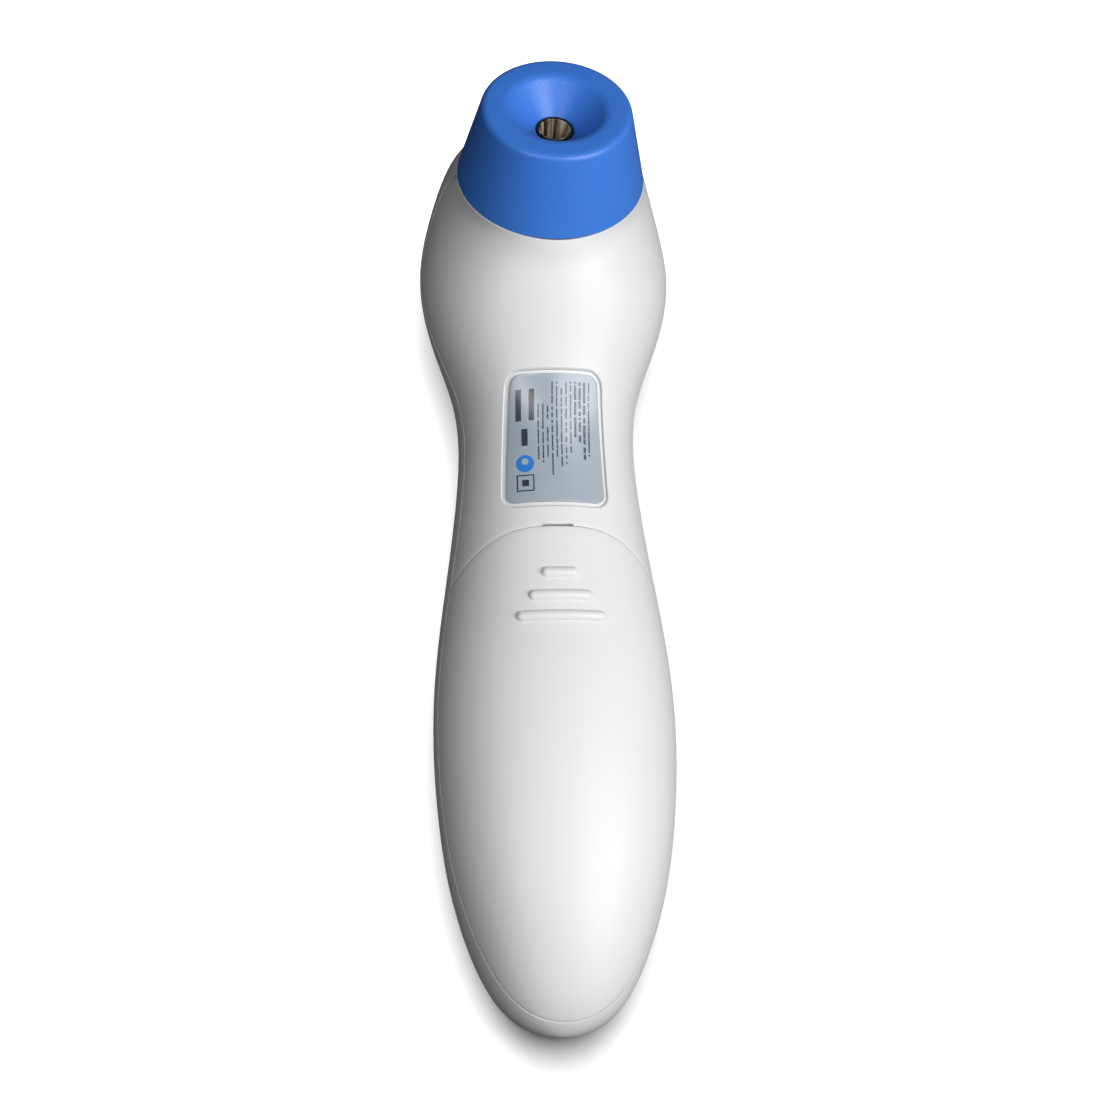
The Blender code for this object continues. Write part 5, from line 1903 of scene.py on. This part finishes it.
@dataclass
class BatteryBay:
    """The tray with its two cells, their springs and contacts, and the leads to the board."""

    shop: Workshop
    nub_r: float = 1.8 * MM
    nub: float = 0.8 * MM
    coil_wide: float = 3.0 * MM
    coil_narrow: float = 1.6 * MM
    turns: float = 3.5
    wire: float = 0.3 * MM

    def build(self) -> None:
        """Make the cells and the springs, and dress the rest."""
        finishes = self.shop.finishes
        self._cell("battery_left", 1)
        self._cell("battery_right", -1)
        self._spring("tail_spring", 1)
        self._spring("head_spring", -1)
        self.shop.dress(finishes.inner_white, "battery_tray")
        self.shop.dress(finishes.contact, "contact_bridge", "positive_contact", "negative_contact")
        self.shop.dress(finishes.red, "positive_lead")
        self.shop.dress(finishes.sleeve, "negative_lead")

    @staticmethod
    def _lay(mesh: Mesh, node: str, way: int, start: float) -> None:
        """Lay a turned mesh along its CAD node's axis.

        Args:
            mesh: The mesh, turned about Z.
            node: The CAD node.
            way: 1 where it points to the head, -1 to the tail.
            start: Where it starts along Y.
        """
        low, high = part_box(node)
        place = Matrix.Translation(((low.x + high.x) / 2, start, (low.z + high.z) / 2))
        mesh.transform(place @ Matrix.Rotation(-way * math.pi / 2, 4, "X"))

    def _cell(self, node: str, way: int) -> None:
        """A cell with a crimped shoulder, a raised nub and a sleeve that wraps its edges.

        Args:
            node: The CAD node.
            way: 1 where its nub points to the head, -1 to the tail.
        """
        low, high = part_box(node)
        length, radius = high.y - low.y, (high.z - low.z) / 2
        shoulder = length - self.nub
        corners = [
            (0.0, length, 0),
            (self.nub_r, length, 0.25 * MM),
            (self.nub_r, shoulder - 0.35 * MM, 0.15 * MM),
            (radius - 0.9 * MM, shoulder - 0.35 * MM, 0.1 * MM),
            (radius - 0.8 * MM, shoulder, 0.1 * MM),
            (radius, shoulder, 0.35 * MM),
            (radius, shoulder - 1.5 * MM, 0.2 * MM),
            (radius - 0.12 * MM, shoulder - 1.9 * MM, 0.2 * MM),
            (radius, shoulder - 2.3 * MM, 0.2 * MM),
            (radius, 0.0, 0.4 * MM),
            (radius - 0.8 * MM, 0.0, 0.05 * MM),
            (radius - 0.9 * MM, 0.15 * MM, 0.05 * MM),
            (0.0, 0.15 * MM, 0),
        ]
        start, end = (low.y, high.y) if way > 0 else (high.y, low.y)
        finish = CellSleeve(f"{node}_sleeve", start, end).make()
        mesh = self.shop.turning.turn(node, rounded_profile(corners, 5), finish, 96)
        self._lay(mesh, node, way, start)
        self.shop.fit(mesh, f"{node}_cell", finish, Body.CASE, "cell_jacket", [node])

    def _spring(self, node: str, way: int) -> None:
        """A conical contact spring, wide at its plate.

        Args:
            node: The CAD node.
            way: 1 where it points to the head, -1 to the tail.
        """
        low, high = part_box(node)
        sizes = {
            "Turns": self.turns,
            "Wide": self.coil_wide,
            "Narrow": self.coil_narrow,
            "Height": high.y - low.y - 2 * self.wire,
            "Wire": self.wire,
        }
        finish = self.shop.finishes.contact
        mesh = self.shop.coiling.make(bpy.data.meshes.new(node), finish, sizes)
        self._lay(mesh, node, way, low.y + self.wire if way > 0 else high.y - self.wire)
        self.shop.fit(mesh, f"{node}_coil", finish, Body.CASE, "steel", [node])


@dataclass
class Electronics:
    """The main board with its parts, and the legs of its chips."""

    shop: Workshop
    leg_width: float = 0.32 * MM
    leg_reach: float = 1.0 * MM
    leg_thick: float = 0.14 * MM

    def build(self) -> None:
        """Dress the board's parts and add the legs."""
        finishes = self.shop.finishes
        self.shop.dress(finishes.board, "main_board")
        self.shop.dress(finishes.black, "processor_chip", "memory_chip", "buzzer", "supply_capacitor")
        self.shop.dress(finishes.steel, "clock_crystal")
        self.shop.dress(finishes.clear, "sensor_connector", "sensor_cable")
        self._legs("processor_chip", 8, 0.8 * MM)
        self._legs("memory_chip", 4, 1.1 * MM)

    def _legs(self, node: str, count: int, pitch: float) -> None:
        """Gull-wing legs on two sides of a chip.

        Args:
            node: The chip's CAD node.
            count: Legs on each side.
            pitch: The distance from one to the next.
        """
        low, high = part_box(node)
        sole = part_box("main_board")[1].z - low.z + self.leg_thick
        knee = (high.z - low.z) * 0.55
        run = self.leg_reach
        line = [(-0.1 * MM, knee), (0.3 * run, knee), (0.5 * run, sole), (run, sole)]
        back = [(x, z - self.leg_thick) for x, z in reversed(line)]
        half = self.leg_width / 2
        rings = [[(x, y, z) for x, z in (*line, *back)] for y in (-half, half)]
        leg = stacked("leg", np.array(rings))
        sizes = {"Count": count, "Pitch": pitch, "Reach": (high.x - low.x) / 2}
        finish = self.shop.finishes.contact
        mesh = self.shop.legging.make(leg, finish, sizes)
        set_over(mesh, node, low.z)
        self.shop.fit(mesh, f"{node}_legs", finish, Body.CASE, "steel")


@dataclass
class Fasteners:
    """The pan-head screws of the case, the tray and the board."""

    shop: Workshop
    head_r: float = 2.1 * MM
    head: float = 1.3 * MM
    shank: float = 0.95 * MM
    pitch: float = 0.75 * MM

    def build(self) -> None:
        """Make each screw where its CAD node is."""
        for place in ("case", "tray", "board"):
            for side in ("left", "right"):
                self._screw(f"{place}_screw_{side}")

    def _screw(self, node: str) -> None:
        """A domed head with a cross recess, over a threaded shank.

        Args:
            node: The CAD node.
        """
        low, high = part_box(node)
        bottom = low.z - high.z
        corners = [
            (0.0, 0.0, 0),
            (1.2 * MM, 0.0, 0.4 * MM),
            (self.head_r, -0.55 * MM, 0.5 * MM),
            (self.head_r, -self.head, 0.12 * MM),
            (self.shank, -self.head, 0.1 * MM),
            (self.shank, bottom + 1.1 * MM, 0.3 * MM),
            (0.0, bottom, 0),
        ]
        finish = self.shop.finishes.steel
        body = self.shop.turning.turn(node, rounded_profile(corners, 5), finish, 48)
        sizes = {
            "Recess": 2.2 * MM,
            "Depth": 0.8 * MM,
            "Shank": self.shank,
            "Length": -bottom - 3.0 * MM,
            "Pitch": self.pitch,
        }
        mesh = self.shop.screwing.make(body, finish, sizes)
        set_over(mesh, node, high.z)
        self.shop.fit(mesh, f"{node}_fine", finish, Body.CASE, "steel", [node], 30)


# ------------------------------------------------------------------------------------ studio


@dataclass
class Studio:
    """A pale floor, a large softbox over the right side, a narrow one over the left, and the camera."""

    form: CaseForm
    elevation: float = math.radians(74.0)
    yaw: float = math.radians(5.9)
    roll: float = math.radians(1.7)
    distance: float = 0.750
    frame_width: float = 180.3 * MM
    sensor: float = 36.0
    target: Point = (79.5 * MM, 15.0 * MM)
    drift: Point = (-0.246 * MM, 0.492 * MM)
    key_power: float = 9.8
    fill_power: float = 2.2
    floor_power: float = 60.0
    room: float = 0.16

    def build(self) -> None:
        """Set up the camera, the floor and the light."""
        self._camera()
        self._world()
        floor = self._floor()
        key = self._softbox("key", (0.54, -0.20, 0.80), (0.6, 0.9), self.key_power)
        fill = self._softbox("fill", (-0.42, -0.20, 0.84), (0.16, 0.6), self.fill_power)
        over = self._softbox("over", (-0.05, 0.5, 1.35), (1.6, 2.0), self.floor_power)
        self._reach(key, floor, "EXCLUDE")
        self._reach(fill, floor, "EXCLUDE")
        self._reach(over, floor, "INCLUDE")

    @staticmethod
    def _reach(light: Object, floor: Object, state: str) -> None:
        """Keep a light off the floor, or on the floor alone, as flags and screens do.

        Args:
            light: The light.
            floor: The floor.
            state: EXCLUDE or INCLUDE.
        """
        group = bpy.data.collections.new(f"{light.name}_reach")
        group.objects.link(floor)
        group.collection_objects[0].light_linking.link_state = state
        light.light_linking.receiver_collection = group

    def _camera(self) -> None:
        """A long lens high over the tail, a little to its left."""
        out = Vector((-math.sin(self.yaw), -math.cos(self.elevation), math.sin(self.elevation))).normalized()
        level = Vector((0.0, 1.0, 0.0))
        up = (level - out * level.dot(out)).normalized()
        right = up.cross(out)
        turned_up = up * math.cos(self.roll) + right * math.sin(self.roll)
        turned_right = right * math.cos(self.roll) - up * math.sin(self.roll)
        aim = Vector((0.0, self.form.along(self.target[0]), self.target[1]))
        aim += turned_right * self.drift[0] + turned_up * self.drift[1]
        data = bpy.data.cameras.new("studio_camera")
        data.sensor_width = self.sensor
        data.lens = self.sensor * self.distance / self.frame_width
        data.clip_start = 0.05
        camera = new_object("studio_camera", data)
        turn = Matrix((turned_right, turned_up, out)).transposed()
        camera.matrix_world = Matrix.Translation(aim + out * self.distance) @ turn.to_4x4()
        bpy.context.scene.camera = camera

    def _floor(self) -> Object:
        """A wide plain floor just under the object. Its bounce is kept off the object.

        Returns:
            The floor.
        """
        mesh = slab("floor", (0.0, 0.0), (4.0, 4.0, 0.5), -0.02, -0.05 * MM, 1 * MM)
        floor = new_object("floor", mesh)
        surface = Surface("pale_floor")
        fine = surface.noise(surface.place(), 2 * MM, 3.0)
        white = surface.blend(fine, (0.93, 0.93, 0.93), (0.95, 0.95, 0.95))
        inputs = {"Base Color": white, "Roughness": 0.9, "Specular IOR Level": 0.0}
        mesh.materials.append(surface.finish(inputs))
        floor.visible_diffuse = False
        floor.visible_glossy = False
        return floor

    def _world(self) -> None:
        """A dim room, brighter on the right and overhead than on the left and below."""
        world = bpy.data.worlds.new("studio_room")
        bpy.context.scene.world = world
        world.use_nodes = True
        room = Network(world.node_tree)
        room.tree.nodes.clear()
        way = room.node("ShaderNodeTexCoord").outputs["Generated"]
        x, _, z = room.axes(way)
        light = (x * 0.55 + z * 0.3 + 0.4).math("MAXIMUM", 0.12)
        inputs = {"Color": (0.95, 0.97, 1.0), "Strength": light * self.room}
        back = room.node("ShaderNodeBackground", None, inputs)
        room.node("ShaderNodeOutputWorld", None, {"Surface": back.outputs[0]})

    def _softbox(self, name: str, place: Triple, sizes: Point, power: float) -> Object:
        """A rectangular light that faces the object.

        Args:
            name: The light's name.
            place: Where it stands.
            sizes: Its width and length.
            power: Its power in watts.

        Returns:
            The light.
        """
        data = bpy.data.lights.new(name, "AREA")
        data.shape = "RECTANGLE"
        data.size, data.size_y = sizes
        data.energy = power
        light = new_object(name, data)
        light.location = place
        light.rotation_mode = "QUATERNION"
        light.rotation_quaternion = Vector(place).to_track_quat("Z", "Y")
        return light


def main() -> None:
    """Build every class in order around the frame."""
    for obj in list(bpy.data.objects):
        bpy.data.objects.remove(obj)
    bpy.context.scene.view_settings.view_transform = "Standard"
    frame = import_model()
    low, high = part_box("measure_button")
    origin_y = (low.y + high.y) / 2 - 98.0 * MM
    probe = ProbeFrame(Vector((0.0, origin_y + 139.4 * MM, 30.2 * MM)))
    form = CaseForm(origin_y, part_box("battery_door")[0].z - 0.2 * MM, probe)
    shop = Workshop(Finishes(probe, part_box("rating_label")), frame["nodes"])
    for group in (
        Studio(form),
        CaseShells(shop, form),
        GripRibs(shop, form),
        RatingLabel(shop, form),
        ProbeHead(shop, probe),
        Controls(shop),
        BatteryBay(shop),
        Electronics(shop),
        Fasteners(shop),
    ):
        LOG.info("building %s", type(group).__name__)
        group.build()


if __name__ == "__main__":
    logging.basicConfig(level=logging.INFO, format="%(name)s: %(message)s")
    main()
